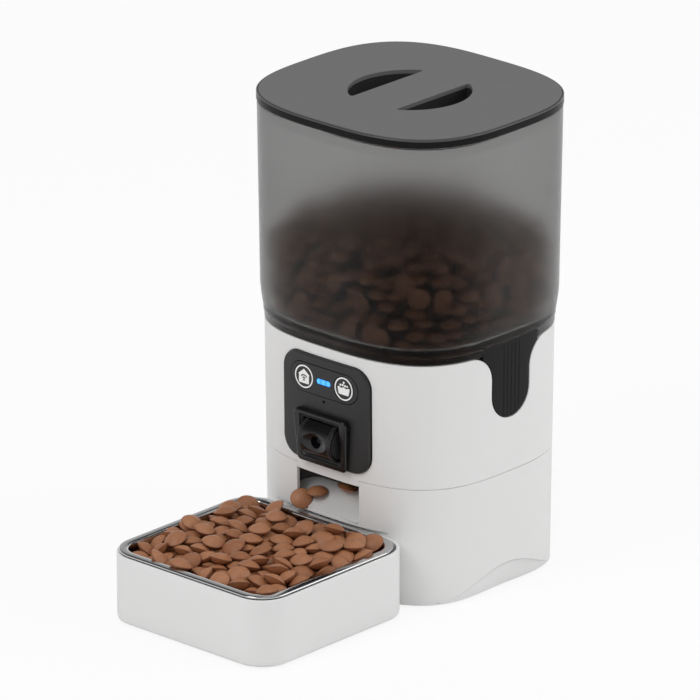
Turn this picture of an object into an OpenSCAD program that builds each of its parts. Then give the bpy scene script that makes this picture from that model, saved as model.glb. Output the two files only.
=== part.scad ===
// Automatic pet feeder with a camera: a lidded food hopper over a white base, with a vaned food
// wheel inside, a black control panel in front and a pull-out tray that holds a steel bowl.
// Millimetres, +Z up, front towards -Y. The origin is the middle of the footprint on the floor.

/* [Body] */
// Width of the lid, the widest piece
body_w = 180; // [170:1:190]
// Depth of the lid, front to back
body_d = 166; // [160:1:175]
// Squareness of the plan outline, where 2 is an ellipse
plan_power = 3; // [2.6:0.1:3.4]
// Height of the base, where the hopper sits
base_h = 163.5; // [158:0.5:170]
// How far the top of the base stays inside the lid's edge
base_inset = 4.6; // [4:0.1:6]
// How much the base draws in from its top to its bottom, on each side
base_taper = 1.7; // [0.5:0.1:3]
// Wall of the base shells
wall = 2.5; // [2:0.1:3]
// Height of the rubber feet
foot_h = 1; // [0.6:0.1:1.5]

/* [Hand scoops] */
// Width of a scoop along the foot of the side wall
scoop_w = 132; // [100:1:136]
// Height of a scoop in its middle
scoop_h = 17.3; // [12:0.1:22]
// Depth of a scoop in its middle
scoop_depth = 4.8; // [4:0.1:6]

/* [Hopper] */
// Height of the hopper over the base
hopper_h = 146.2; // [120:0.1:170]
// Wall of the hopper
hopper_wall = 2.2; // [1.8:0.1:2.6]
// Height of the dark lip at the hopper's foot
lip_h = 5.6; // [4.5:0.1:7]
// Height over the base at which the belly ends and the straight wall starts
belly_h = 25; // [22:0.5:30]
// How far the straight wall's foot stays inside the lid's edge
belly_inset = 2; // [1.4:0.1:2.6]
// Inner diameter of the neck that feeds the food wheel
neck_d = 90; // [84:1:91]
// Wall of the neck
neck_wall = 2.3; // [1.8:0.1:2.6]
// Thickness of the funnel, measured upright
funnel_t = 4; // [3:0.1:5]

/* [Lid] */
// Height of the lid's dark rim
lid_h = 6.1; // [5:0.1:8]
// Thickness of the lid's top plate
lid_plate = 3; // [2.4:0.1:4]
// Diameter of the round grip
grip_d = 79; // [70:1:88]
// Width of the bar between the two grip pockets
grip_bar = 37.4; // [34:0.2:42]
// Depth of the grip pockets
grip_depth = 13; // [10:0.5:16]
// Height of the plug that drops into the hopper
plug_h = 8; // [6:0.5:10]
// Wall of the plug
plug_wall = 2.6; // [2:0.1:3.2]
// Section of the lid seal
seal_t = 1.6; // [1.2:0.1:2]
// Length of the drying-agent holder under the bar
holder_len = 50; // [40:1:56]

/* [Release tabs] */
// Width of a release tab
latch_w = 36; // [30:1:38]
// Distance from the top of the base to the foot of a tab
latch_drop = 47; // [42:0.5:52]
// Radius of the flares at the top of a tab's notch
latch_fillet = 18; // [14:0.5:20]
// Width of a tab's head
latch_head = 52.6; // [46:0.2:58]
// Thickness of a tab
latch_t = 3; // [2.4:0.1:3.4]
// How far the tabs sit behind the middle of the body
latch_y = 2; // [0:0.5:4]
// Number of ribs on a tab
rib_count = 5; // [3:1:7]
// Spacing of the ribs
rib_pitch = 3.6; // [2.4:0.1:4]
// Diameter of a tab's hinge pin
latch_pin_d = 3; // [2:0.5:3]

/* [Front panel] */
// Width of the panel
panel_w = 73.6; // [70:0.2:80]
// Height of the panel
panel_h = 71.3; // [70:0.1:72]
// Distance from the top of the base down to the panel's upper edge
panel_rim = 7.15; // [6:0.05:8.5]
// Distance from the panel's foot down to the parting line between the base's two shells
split_gap = 5.05; // [4:0.05:7]
// Corner radius of the panel
panel_r = 13; // [8:0.5:16]
// How far the panel stands out of the base
panel_proud = 2.6; // [1.5:0.1:3.5]
// Width of the button inset
deck_w = 57.6; // [54:0.2:60]
// Height of the button inset
deck_h = 20.1; // [19.6:0.1:21]
// Distance from the panel's upper edge down to the button inset's middle
deck_drop = 15.55; // [14.8:0.05:16.3]
// Diameter of a button
button_d = 16; // [14:0.2:16.4]
// Distance between the buttons
button_pitch = 34; // [32:0.2:35]
// Travel of a button
button_travel = 0.8; // [0.4:0.1:1]
// Width of the status light
light_w = 12; // [8:0.2:13]
// Height of the status light
light_h = 4; // [3:0.2:5]
// Distance from the button inset's middle down to the microphone hole
mic_drop = 13.1; // [12.8:0.1:13.8]
// Diameter of the microphone hole
mic_d = 2; // [1:0.2:2.4]

/* [Camera] */
// Height of the tilt axis over the panel's foot
camera_up = 17.45; // [16.5:0.05:18.5]
// Diameter of the tilting barrel
barrel_d = 25; // [23:0.2:26]
// Length of the barrel
barrel_len = 28; // [26:0.5:30]
// How far the tilt axis lies behind the panel's face
barrel_set = 2.5; // [2:0.1:3.5]
// Diameter of the tilt pins
tilt_pin_d = 5; // [4:0.2:6]
// Diameter of the lens
lens_d = 6.4; // [5:0.2:8]
// Diameter of the dish in front of the lens
dish_d = 15; // [12:0.5:18]
// Width of the hood at its top
hood_top_w = 45.8; // [44:0.2:48]
// Width of the hood at its foot
hood_foot_w = 41.4; // [41:0.2:44]
// Height of the hood
hood_h = 35.4; // [34:0.2:36]
// How far the hood's upper edge stands out of the panel
hood_top_out = 4.7; // [3.5:0.1:6]
// How far the hood's lower edge stands out of the panel
hood_foot_out = 2.4; // [1.5:0.1:3.4]
// Width of the window in the hood
window_w = 35; // [34:0.2:36]

/* [Outlet] */
// Width of the outlet
outlet_w = 53; // [46:0.5:56]
// Depth of the tongue that closes the outlet's upper edge
tongue_h = 4; // [3:0.5:7]
// Height of the chute's lip over the dock
lip_rise = 0.5; // [0.2:0.1:2]
// Slope of the chute, in degrees
chute_slope = 33; // [31:0.5:33.5]
// Radius of the chute's hollow floor
chute_hollow = 120; // [90:5:200]
// Wall of the chute
chute_wall = 2; // [1.6:0.1:2.4]
// Length of the white apron from the front wall inwards
apron_len = 21; // [16:0.5:26]

/* [Food wheel] */
// Gap between the hopper's neck and the wheel's housing
cup_gap = 1.2; // [0.8:0.1:2.5]
// Height of the housing's floor over the chute's lip
cup_rise = 40.5; // [40.3:0.1:42.5]
// Gap between the food wheel and its housing
rotor_gap = 1; // [0.8:0.1:3.5]
// Height of the food wheel
rotor_h = 25; // [20:0.5:26]
// Number of vanes
vane_count = 6; // [4:2:8]
// Thickness of a vane
vane_t = 2.4; // [1.6:0.1:3]
// Diameter of the wheel's hub
hub_d = 18; // [14:0.5:20]
// Inner edge of the drop hole, from the wheel's axis
drop_in = 23; // [22:0.5:26]
// Opening angle of the drop hole
drop_angle = 56; // [40:1:60]
// Reach of the agitator's arms
agitator_r = 34; // [26:0.5:36]

/* [Drive] */
// Gear module
gear_module = 1.3; // [1.1:0.05:1.35]
// Teeth on the wheel's gear
gear_teeth = 28; // [24:1:28]
// Teeth on the motor pinion
pinion_teeth = 14; // [13:1:16]
// Face width of the gears
gear_w = 7; // [5:0.5:7.5]
// Pressure angle of the gears
gear_pressure = 22; // [20:0.5:25]
// Diameter of the wheel's shaft
shaft_d = 6; // [5:0.5:8]
// Diameter of the motor's shaft
motor_shaft_d = 4; // [3:0.5:5]
// Diameter of the motor
motor_d = 25; // [20:0.5:28]
// Length of the motor below its gearbox
motor_len = 22; // [16:0.5:30]
// Thickness of the gearbox frame
frame_t = 3; // [2.5:0.1:4]

/* [Tray and bowl] */
// Width of the tray
tray_w = 139; // [130:0.5:145]
// Length of the tray
tray_len = 138.3; // [130:0.1:150]
// Height of the tray's edge
tray_h = 46.2; // [42:0.1:46.4]
// Corner radius of the tray
tray_r = 21; // [17:0.5:24]
// Wall of the tray
tray_wall = 2.2; // [1.8:0.1:3]
// How far the tray docks into the base
dock_depth = 4.8; // [4:0.1:5.5]
// Width of the bowl's flange
flange_w = 6.4; // [5:0.1:8]
// How far the flange stays inside the tray's edge
flange_inset = 1.3; // [0.8:0.1:2]
// Sheet of the bowl
bowl_gauge = 0.8; // [0.6:0.1:1.2]
// Depth of the bowl
bowl_depth = 36; // [28:0.5:38]

/* [Boards and sockets] */
// Thickness of the circuit boards
board_t = 1.6; // [1.2:0.1:2]
// Width of the main board
board_w = 64; // [50:1:70]
// Depth of the main board, front to back
board_h = 46; // [36:1:46]
// Diameter of the speaker
speaker_d = 36; // [28:1:40]
// Diameter of the power inlet's bore
inlet_d = 5.5; // [4:0.5:6.5]
// Height of the power inlet over the floor
inlet_z = 18; // [16:0.5:19]
// Diameter of the screws
screw_d = 3; // [2.5:0.1:3.2]

/* [Clearances] */
// Gap around pieces that are fixed side by side
fit_gap = 0.1; // [0.05:0.01:0.15]
// Gap between pieces that move past each other
move_gap = 0.4; // [0.3:0.05:0.5]
// Radial gap of a turning shaft in its bore
run_gap = 0.05; // [0.03:0.01:0.08]
// Play between the gear teeth
backlash = 0.14; // [0.1:0.01:0.2]

/* [Hidden] */

$fn = 64;
plan_steps = 72;
share = body_d / body_w;
lid_a = body_w / 2;
far = 2 * body_w;

// Heights
hopper_z0 = base_h + move_gap;
hopper_z1 = base_h + hopper_h;
lid_z0 = hopper_z1 + move_gap;
lid_z1 = lid_z0 + lid_h;
dock_top = tray_h + move_gap + 2 * bowl_gauge + move_gap;
dock_roof = 2.4;
panel_top = base_h - panel_rim;
panel_foot = panel_top - panel_h;
panel_z = (panel_top + panel_foot) / 2;
split_z = panel_foot - split_gap;
deck_z = panel_top - deck_drop;
mic_z = deck_z - mic_drop;
camera_z = panel_foot + camera_up;
outlet_top = split_z - tongue_h;
chute_lip = dock_top + dock_roof + lip_rise;
cup_d = neck_d + 2 * neck_wall + 2 * cup_gap;
cup_floor = chute_lip + cup_rise;
rotor_d = cup_d - 2 * rotor_gap;
neck_over = 5;
neck_dip = 4;
neck_z0 = cup_floor + rotor_h + neck_over;
deck_plate_z = neck_z0 + neck_dip;
deck_plate_t = 2.5;

// Plan outline: a rounded square whose points lie at even angles
function reach(t, n, q) = pow(pow(abs(cos(t)), n) + pow(abs(sin(t)) / q, n), -1 / n);
function ring(a, z, n = plan_power, q = share) =
    [for (i = [0 : plan_steps - 1])
        let (t = 360 * i / plan_steps)
        [a * reach(t, n, q) * cos(t), a * reach(t, n, q) * sin(t), z]];
function plan(a) = [for (p = ring(a, 0)) [p[0], p[1]]];
function plan_at(a, t) = a * reach(t, plan_power, share) * [cos(t), sin(t)];
function front_y(a, x = 0) = -a * share * pow(1 - pow(abs(x) / a, plan_power), 1 / plan_power);
function side_x(a, y = 0) = a * pow(1 - pow(abs(y) / (a * share), plan_power), 1 / plan_power);
function base_a(z) = lid_a - base_inset - base_taper * (1 - z / base_h);

// Solid through a stack of rings, closed into a loop or capped at both ends
module loft(rings, closed = true) {
    count = len(rings);
    spans = closed ? count : count - 1;
    sides = [for (k = [0 : spans - 1], i = [0 : plan_steps - 1])
        let (here = k * plan_steps, next = ((k + 1) % count) * plan_steps, j = (i + 1) % plan_steps)
        each [[here + i, next + i, next + j], [here + i, next + j, here + j]]];
    caps = closed ? [] : [
        [for (i = [0 : plan_steps - 1]) i],
        [for (i = [plan_steps - 1 : -1 : 0]) (count - 1) * plan_steps + i]];
    polyhedron([for (r = rings) each r], concat(sides, caps), convexity = 8);
}

// Wall of the base between two heights and two insets
module base_band(z0, z1, out, inside) {
    loft([ring(base_a(z0) + out, z0), ring(base_a(z1) + out, z1),
          ring(base_a(z1) - inside, z1), ring(base_a(z0) - inside, z0)]);
}

// Everything but the tray is drawn around the middle of the body
dock_y = -base_a(0) * share + dock_depth;
tray_y1 = dock_y - move_gap;
tray_y0 = tray_y1 - tray_len;
body_y = -(tray_y0 + lid_a * share) / 2;
module in_body() {
    translate([0, body_y, 0]) children();
}

// Flat shapes drawn in X and Z, or in Y and Z, and pushed through the body
module slab_y(y0, y1) {
    translate([0, y1, 0]) rotate([90, 0, 0]) linear_extrude(y1 - y0) children();
}
module slab_x(x0, x1) {
    translate([x0, 0, 0]) rotate([90, 0, 90]) linear_extrude(x1 - x0) children();
}
module rod_y(d, y0, y1) {
    translate([0, y0, 0]) rotate([-90, 0, 0]) cylinder(d = d, h = y1 - y0);
}
module rod_x(d, x0, x1) {
    translate([x0, 0, 0]) rotate([0, 90, 0]) cylinder(d = d, h = x1 - x0);
}
module box(x0, x1, y0, y1, z0, z1) {
    translate([x0, y0, z0]) cube([x1 - x0, y1 - y0, z1 - z0]);
}

// Outlines
function arc(cx, cy, r, t0, t1, steps = 8) =
    [for (i = [0 : steps]) let (t = t0 + (t1 - t0) * i / steps) [cx + r * cos(t), cy + r * sin(t)]];
function rounded(w, h, r) = concat(
    arc(w / 2 - r, h / 2 - r, r, 0, 90),
    arc(r - w / 2, h / 2 - r, r, 90, 180),
    arc(r - w / 2, r - h / 2, r, 180, 270),
    arc(w / 2 - r, r - h / 2, r, 270, 360));
pill_ease = 0.01;
function pill(w, h) = rounded(w, h, h / 2 - pill_ease);

// Screws: a shank that points up and a round head under it, and the pocket that sinks the head
screw_head_d = 2 * screw_d;
screw_head_h = 0.5 * screw_d;
module screw(len) {
    cylinder(d = screw_d, h = len);
    translate([0, 0, -screw_head_h]) cylinder(d = screw_head_d, h = screw_head_h);
}
module screw_pocket(len) {
    cylinder(d = screw_d, h = len);
    translate([0, 0, -2 * screw_head_h]) cylinder(d = screw_head_d + 2 * fit_gap, h = 2 * screw_head_h);
}

// Lid: a rimmed plate with a plug, and two pockets either side of a grip bar
plug_gap = seal_t / 2 + move_gap;
hopper_top_a = lid_a - move_gap;
plug_a = hopper_top_a - hopper_wall - plug_gap;
pocket_wall = 2;
pocket_z = lid_z1 - grip_depth;
lid_edge = 1;
function segment(d, bar) = let (t = acos(bar / d)) arc(0, 0, d / 2, -t, t, 24);
module grip_segments(grow) {
    for (s = [0, 180]) rotate(s) polygon(segment(grip_d + 2 * grow, grip_bar - 2 * grow));
}
module lid_shell() {
    color("dimgray") in_body() difference() {
        union() {
            loft([ring(plug_a - plug_wall, lid_z1 - lid_plate), ring(plug_a - plug_wall, lid_z0 - plug_h),
                  ring(plug_a, lid_z0 - plug_h), ring(plug_a, lid_z0), ring(lid_a, lid_z0),
                  ring(lid_a, lid_z1 - lid_edge), ring(lid_a - lid_edge, lid_z1)], closed = false);
            translate([0, 0, pocket_z - pocket_wall])
                linear_extrude(grip_depth + pocket_wall - lid_plate / 2) grip_segments(pocket_wall);
        }
        translate([0, 0, pocket_z]) linear_extrude(2 * grip_depth) grip_segments(0);
    }
}
seal_z = lid_z0 - plug_h / 2;
module lid_seal() {
    color("gainsboro") in_body()
        loft([ring(plug_a, seal_z - seal_t), ring(plug_a + seal_t / 2, seal_z - seal_t),
              ring(plug_a + seal_t / 2, seal_z + seal_t), ring(plug_a, seal_z + seal_t)]);
}

// Holder for a bag of drying agent under the grip bar, closed by a vented cover that slides out
holder_gap = 1;
holder_w = grip_bar - 2 * pocket_wall - 2 * holder_gap;
holder_wall = 1.6;
holder_z1 = lid_z1 - lid_plate;
cover_t = 1.6;
cover_z1 = pocket_z - pocket_wall;
cover_z0 = cover_z1 - cover_t;
rail_t = 1.2;
rail_w = 1.6;
groove_w = holder_w - 2 * holder_wall;
vent_count = 5;
vent_w = 3;
vent_len = 16;
vent_pitch = 7;
module desiccant_holder() {
    room_w = groove_w - 2 * rail_w;
    y0 = holder_wall - holder_len / 2;
    color("whitesmoke") in_body() difference() {
        box(-holder_w / 2, holder_w / 2, -holder_len / 2, holder_len / 2,
            cover_z0 - move_gap - rail_t, holder_z1);
        box(-room_w / 2, room_w / 2, y0, -y0, 0, holder_z1 - holder_wall);
        box(-groove_w / 2, groove_w / 2, y0, far, cover_z0 - move_gap, cover_z1 + move_gap);
        box(-room_w / 2, room_w / 2, y0, far, 0, cover_z1 + move_gap);
    }
}
module desiccant_cover() {
    color("gainsboro") in_body() difference() {
        box(move_gap - groove_w / 2, groove_w / 2 - move_gap, holder_wall + move_gap - holder_len / 2,
            holder_len / 2, cover_z0, cover_z1);
        for (i = [0 : vent_count - 1])
            translate([0, (i - (vent_count - 1) / 2) * vent_pitch, cover_z0])
                cube([vent_len, vent_w, 3 * cover_t], center = true);
    }
}

// Hopper: one smoky moulding with a dark lip, a belly, a funnel and a neck
hopper_lip_a = base_a(base_h) + fit_gap;
crease_z = hopper_z0 + lip_h;
belly_z = base_h + belly_h;
belly_a = lid_a - belly_inset;
neck_len = 13;
neck_z1 = neck_z0 + neck_len;
funnel_step = 2;
funnel_drop = 4;
funnel_a = belly_a - hopper_wall - funnel_step;
funnel_z1 = belly_z - funnel_drop;
funnel_rise = (funnel_z1 - neck_z1) / (funnel_a - neck_d / 2);
function funnel_under(x) = neck_z1 + (x - neck_d / 2) * funnel_rise - funnel_t;
lip_in = hopper_lip_a - hopper_wall;
lip_step = 0.6;
lip_over = 1;
belly_curve = [[0, 0.16], [0.22, 0.36], [0.5, 0.68], [0.8, 0.92], [1, 1]];
lug_w = 3;
lug_y = latch_head / 4;
lug_d = latch_pin_d + 2.6;
latch_a = base_a(base_h - latch_drop / 2);
hinge_boss = latch_pin_d + 3.6;
hinge_set = 1.2;
hinge_drop = 4.5;
hinge_x = latch_a - latch_t - latch_pin_d / 2 - hinge_set;
hinge_z = base_h - hinge_drop;
module lug_pair(s) {
    for (u = [-1, 1])
        translate([s * hinge_x, latch_y + u * lug_y, 0]) {
            translate([0, 0, hinge_z]) rod_y(lug_d, -lug_w / 2, lug_w / 2);
            box(-lug_d / 2, lug_d / 2, -lug_w / 2, lug_w / 2, hinge_z, funnel_under(hinge_x) + funnel_t / 2);
        }
}
module hopper_bin() {
    color([0.35, 0.35, 0.36, 0.6]) in_body() difference() {
        union() {
            loft([ring(hopper_lip_a, hopper_z0),
                  for (b = belly_curve)
                      ring(hopper_lip_a + b[1] * (belly_a - hopper_lip_a),
                           crease_z + b[0] * (belly_z - crease_z)),
                  ring(hopper_top_a, hopper_z1),
                  ring(hopper_top_a - hopper_wall, hopper_z1),
                  ring(belly_a - hopper_wall, belly_z),
                  ring(funnel_a, funnel_z1),
                  ring(neck_d / 2, neck_z1, 2, 1),
                  ring(neck_d / 2, neck_z0, 2, 1),
                  ring(neck_d / 2 + neck_wall, neck_z0, 2, 1),
                  ring(neck_d / 2 + neck_wall, neck_z1 - funnel_t + neck_wall * funnel_rise, 2, 1),
                  ring(lip_in - lip_step, funnel_under(lip_in - lip_step)),
                  ring(lip_in, crease_z + lip_over),
                  ring(lip_in, hopper_z0)]);
            for (s = [-1, 1]) lug_pair(s);
        }
        for (s = [-1, 1]) {
            translate([s * lid_a, latch_y, 0])
                box(latch_a - latch_t - 2 * move_gap - lid_a, lid_a, -latch_head / 2 - move_gap,
                    latch_head / 2 + move_gap, 0, crease_z);
            translate([s * hinge_x, latch_y, hinge_z]) rod_y(latch_pin_d, -latch_head / 2, latch_head / 2);
        }
    }
}

// Release tabs: ribbed plates in notches of the base, hinged under the hopper
function notch(w, f, top, drop, over) = concat(
    [[w / 2 + f, top + over]],
    arc(w / 2 + f, top - f, f, 90, 180),
    arc(0, top - drop + w / 2, w / 2, 0, -180, 16),
    arc(-w / 2 - f, top - f, f, 0, 90),
    [[-w / 2 - f, top + over]]);
seam_gap = 0.1;
latch_gap = move_gap + seam_gap;
function latch_outline() = let (
    w = latch_w - 2 * latch_gap, f = latch_fillet + latch_gap, head = latch_head / 2,
    t = acos((head - latch_w / 2 - latch_fillet) / f), top = crease_z - move_gap) concat(
    [[head, top]],
    arc(latch_w / 2 + latch_fillet, base_h - latch_fillet, f, t, 180),
    arc(0, base_h - latch_drop + latch_w / 2, w / 2, 0, -180, 16),
    arc(-latch_w / 2 - latch_fillet, base_h - latch_fillet, f, 0, 180 - t),
    [[-head, top]]);
function side_strip(a, t, half, steps = 12) = concat(
    [for (i = [-steps : steps]) [side_x(a, latch_y + half * i / steps), latch_y + half * i / steps]],
    [for (i = [steps : -1 : -steps])
        [side_x(a, latch_y + half * i / steps) - t, latch_y + half * i / steps]]);
rib_groove = 0.7;
rib_end = 6;
tail_h = 6;
tail_t = 2;
tail_w = 18;
tail_rise = 18;
tail_step = 5;
tail_root = 0.5;
tail_x = side_x(base_a(base_h - latch_drop - tail_h) - wall, latch_y + tail_w / 2) - move_gap;
module latch() {
    difference() {
        union() {
            intersection() {
                slab_x(lid_a / 2, lid_a) translate([latch_y, 0]) polygon(latch_outline());
                translate([0, 0, base_h - latch_drop - 1])
                    linear_extrude(latch_drop + lip_h + 2)
                        polygon(side_strip(latch_a, latch_t, latch_head / 2 + 1));
            }
            translate([hinge_x, latch_y, hinge_z]) {
                rod_y(hinge_boss, -lug_y + lug_w / 2 + move_gap, lug_y - lug_w / 2 - move_gap);
                box(0, latch_a - latch_t / 2 - hinge_x, -lug_y + lug_w, lug_y - lug_w,
                    -hinge_boss / 2, hinge_boss / 2);
            }
            translate([tail_x, latch_y, base_h - latch_drop]) {
                box(-tail_t, 0, -tail_w / 2, tail_w / 2, -tail_h, tail_rise);
                box(-tail_t, latch_a - latch_t + tail_root - tail_x, -tail_w / 2, tail_w / 2,
                    tail_step, tail_rise);
            }
        }
        translate([hinge_x, latch_y, hinge_z])
            rod_y(latch_pin_d + 2 * run_gap, -latch_head, latch_head);
        for (i = [0 : rib_count - 1])
            translate([latch_a, latch_y + (i - (rib_count - 1) / 2) * rib_pitch, 0])
                box(-rib_groove, lid_a, -rib_groove / 2, rib_groove / 2, 0, base_h - rib_end);
    }
}
module latch_right() {
    color([0.12, 0.12, 0.12]) in_body() latch();
}
module latch_left() {
    color([0.12, 0.12, 0.12]) in_body() mirror([1, 0, 0]) latch();
}
module latch_pins() {
    color("silver") in_body() for (s = [-1, 1])
        translate([s * hinge_x, latch_y, hinge_z]) rod_y(latch_pin_d, -lug_y - lug_w / 2, lug_y + lug_w / 2);
}
spring_wire = 0.4;
module latch_springs() {
    color("silver") in_body() for (s = [-1, 1])
        translate([s * hinge_x, latch_y + lug_y + lug_w / 2, hinge_z]) difference() {
            rod_y(latch_pin_d + 2 * spring_wire, 0, lug_w);
            rod_y(latch_pin_d, -1, lug_w + 1);
        }
}

// Base: two white shells that meet at a parting line, with a tongue over the outlet
function scoop_top(y) = abs(y) < scoop_w / 2 ? scoop_h * pow(cos(180 * y / scoop_w), 2) : 0;
function scoop_in(y, z) = z < scoop_top(y)
    ? scoop_depth * scoop_top(y) / scoop_h * sqrt(1 - pow(z / scoop_top(y), 2)) : 0;
function base_ring(z, inset) = [for (p = ring(base_a(z) - inset, z))
    [p[0] - sign(p[0]) * scoop_in(p[1], z), p[1], z]];
scoop_rings = 6;
lower_levels = concat([for (i = [0 : scoop_rings]) foot_h + (scoop_h - foot_h) * sin(90 * i / scoop_rings)],
                      [split_z]);
function panel_outline(grow) = [for (p = rounded(panel_w + 2 * grow, panel_h + 2 * grow, panel_r + grow))
    [p[0], p[1] + panel_z]];
module tongue(half, z1) {
    a = base_a(outlet_top);
    steps = 12;
    translate([0, 0, outlet_top]) linear_extrude(z1 - outlet_top) polygon(concat(
        [for (i = [-steps : steps]) [half * i / steps, front_y(a, half * i / steps)]],
        [for (i = [steps : -1 : -steps]) [half * i / steps, front_y(a - wall, half * i / steps)]]));
}
boss_angles = [45, 135, 225, 315];
boss_d = 3 * screw_d;
boss_h = 14;
boss_end = 3;
boss_bite = 8;
head_room = 0.5;
boss_inset = wall + screw_head_d / 2 + head_room;
function boss_points(z) = [for (t = boss_angles) plan_at(base_a(z) - boss_inset, t)];
deck_bosses = boss_points(deck_plate_z - boss_h);
module base_upper_shell() {
    color("whitesmoke") in_body() difference() {
        union() {
            base_band(split_z, base_h, 0, wall);
            tongue(outlet_w / 2 - fit_gap, split_z + 1);
            for (p = deck_bosses)
                translate([p[0], p[1], deck_plate_z - boss_h]) cylinder(d = boss_d, h = boss_h);
        }
        slab_y(-far, 0) polygon(panel_outline(fit_gap));
        slab_x(-far, far) translate([latch_y, 0])
            polygon(notch(latch_w, latch_fillet, base_h, latch_drop, wall));
        for (p = deck_bosses)
            translate([p[0], p[1], deck_plate_z - boss_h + boss_end]) cylinder(d = screw_d, h = boss_h);
    }
}

// Bottom plate with its screw bosses, the speaker grille and the posts of the main board
plate_t = 2.5;
plate_z1 = foot_h + plate_t;
plate_bosses = boss_points(foot_h);
board_at = [26, 24];
board_stand = 6;
board_z0 = plate_z1 + board_stand;
board_edge = 5;
board_posts = [for (sx = [-1, 1], sy = [-1, 1])
    board_at + [sx * (board_w / 2 - board_edge), sy * (board_h / 2 - board_edge)]];
board_post_d = 2 * screw_d;
board_bite = 4;
socket_wall = 2.5;
socket_d = inlet_d + 2 * socket_wall;
module base_lower_shell() {
    mid = base_a(tray_h) - wall / 2;
    dock_half = side_x(mid, dock_y + wall / 2);
    steps = 12;
    color("whitesmoke") in_body() difference() {
        union() {
            loft(concat([for (z = lower_levels) base_ring(z, 0)],
                        [for (i = [len(lower_levels) - 1 : -1 : 0]) base_ring(lower_levels[i], wall)]));
            box(-dock_half, dock_half, dock_y, dock_y + wall, foot_h, dock_top + dock_roof);
            translate([0, 0, dock_top]) linear_extrude(dock_roof) polygon(concat(
                [for (i = [-steps : steps]) let (x = dock_half * i / steps) [x, front_y(mid, x)]],
                [[dock_half, dock_y + wall], [-dock_half, dock_y + wall]]));
            for (p = plate_bosses)
                translate([p[0], p[1], plate_z1]) cylinder(d = boss_d, h = boss_h);
        }
        box(-far, far, -far, dock_y, -1, dock_top);
        box(-outlet_w / 2, outlet_w / 2, -far, dock_y + wall + 1, dock_top + dock_roof, split_z + 1);
        translate([0, 0, inlet_z]) rod_y(socket_d + 2 * fit_gap, 0, far);
        for (p = plate_bosses)
            translate([p[0], p[1], 0]) cylinder(d = screw_d, h = plate_z1 + boss_h - boss_end);
    }
}
speaker_at = [-34, 28];
grille_rows = 3;
grille_pitch = 7;
grille_d = 3;
module bottom_plate() {
    color("lightgray") in_body() difference() {
        union() {
            intersection() {
                translate([0, 0, foot_h]) linear_extrude(plate_t)
                    polygon([for (p = base_ring(foot_h, wall + fit_gap)) [p[0], p[1]]]);
                box(-far, far, dock_y + wall + fit_gap, far, 0, plate_z1);
            }
            for (p = board_posts)
                translate([p[0], p[1], foot_h]) cylinder(d = board_post_d, h = board_z0 - foot_h);
        }
        for (p = board_posts)
            translate([p[0], p[1], board_z0 - board_bite]) cylinder(d = screw_d, h = far);
        for (p = plate_bosses)
            translate([p[0], p[1], foot_h + screw_head_h]) screw_pocket(plate_t);
        for (i = [-grille_rows : grille_rows], j = [-grille_rows : grille_rows])
            if (norm([i, j]) * grille_pitch < speaker_d / 2 - grille_d)
                translate([speaker_at[0] + i * grille_pitch, speaker_at[1] + j * grille_pitch, 0])
                    cylinder(d = grille_d, h = plate_z1 + 1);
    }
}
module bottom_screws() {
    color("silver") in_body() for (p = plate_bosses)
        translate([p[0], p[1], foot_h + screw_head_h]) screw(plate_t + boss_bite);
}
foot_d = 14;
foot_x = 52;
foot_ys = [-42, 50];
foot_points = [for (sx = [-1, 1], y = foot_ys) [sx * foot_x, y]];
module base_feet() {
    color([0.2, 0.2, 0.2]) in_body() for (p = foot_points)
        translate([p[0], p[1], 0]) cylinder(d = foot_d, h = foot_h);
}

// Food wheel: a housing with a drop hole, a vaned rotor and an agitator over it
cup_wall = 2.5;
cup_under = cup_floor - cup_wall;
bush_wall = 3;
bush_lip = 2;
bush_d = shaft_d + 2 * bush_wall;
bush_flange = 1;
function sector(r0, r1, half) = concat(arc(0, 0, r1, -half, half, 12), arc(0, 0, r0, half, -half, 12));
latch_bay = 11;
bay_gap = 4;
drop_rim = 2;
module rotor_housing() {
    color([0.27, 0.27, 0.28]) in_body() difference() {
        union() {
            translate([0, 0, deck_plate_z]) linear_extrude(deck_plate_t)
                polygon(plan(base_a(deck_plate_z) - wall - fit_gap));
            translate([0, 0, cup_under])
                cylinder(d = cup_d + 2 * cup_wall, h = deck_plate_z + deck_plate_t - cup_under);
        }
        translate([0, 0, cup_floor]) cylinder(d = cup_d, h = far);
        translate([0, 0, cup_under - 1]) cylinder(d = bush_d, h = far);
        translate([0, 0, cup_under - 1]) rotate(-90) linear_extrude(far)
            polygon(sector(drop_in, cup_d / 2 - drop_rim, drop_angle / 2));
        box(-panel_w / 2 - bay_gap, panel_w / 2 + bay_gap, -far, board_face_y + board_t + 2 * screw_head_h,
            deck_plate_z - 1, far);
        for (s = [-1, 1])
            translate([s * lid_a, latch_y, deck_plate_z - 1])
                box(latch_a - latch_bay - lid_a, lid_a, -latch_w / 2 - bay_gap, latch_w / 2 + bay_gap,
                    0, far);
        for (p = deck_bosses)
            translate([p[0], p[1], deck_plate_z - 1]) cylinder(d = screw_d, h = deck_plate_t + 2);
        for (p = frame_posts)
            translate([p[0], p[1], cup_floor - screw_head_h]) mirror([0, 0, 1]) screw_pocket(cup_wall);
    }
}
module housing_screws() {
    color("silver") in_body() for (p = deck_bosses)
        translate([p[0], p[1], deck_plate_z + deck_plate_t]) mirror([0, 0, 1])
            screw(deck_plate_t + boss_bite);
}
module shaft_bush() {
    color("goldenrod") in_body() difference() {
        translate([0, 0, cup_under - bush_flange]) union() {
            cylinder(d = bush_d, h = cup_wall + bush_flange);
            cylinder(d = bush_d + 2 * bush_lip, h = bush_flange);
        }
        translate([0, 0, cup_under - 2 * bush_flange]) cylinder(d = shaft_d + 2 * run_gap, h = far);
    }
}
rotor_z0 = cup_floor + move_gap;
rotor_z1 = rotor_z0 + rotor_h;
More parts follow.
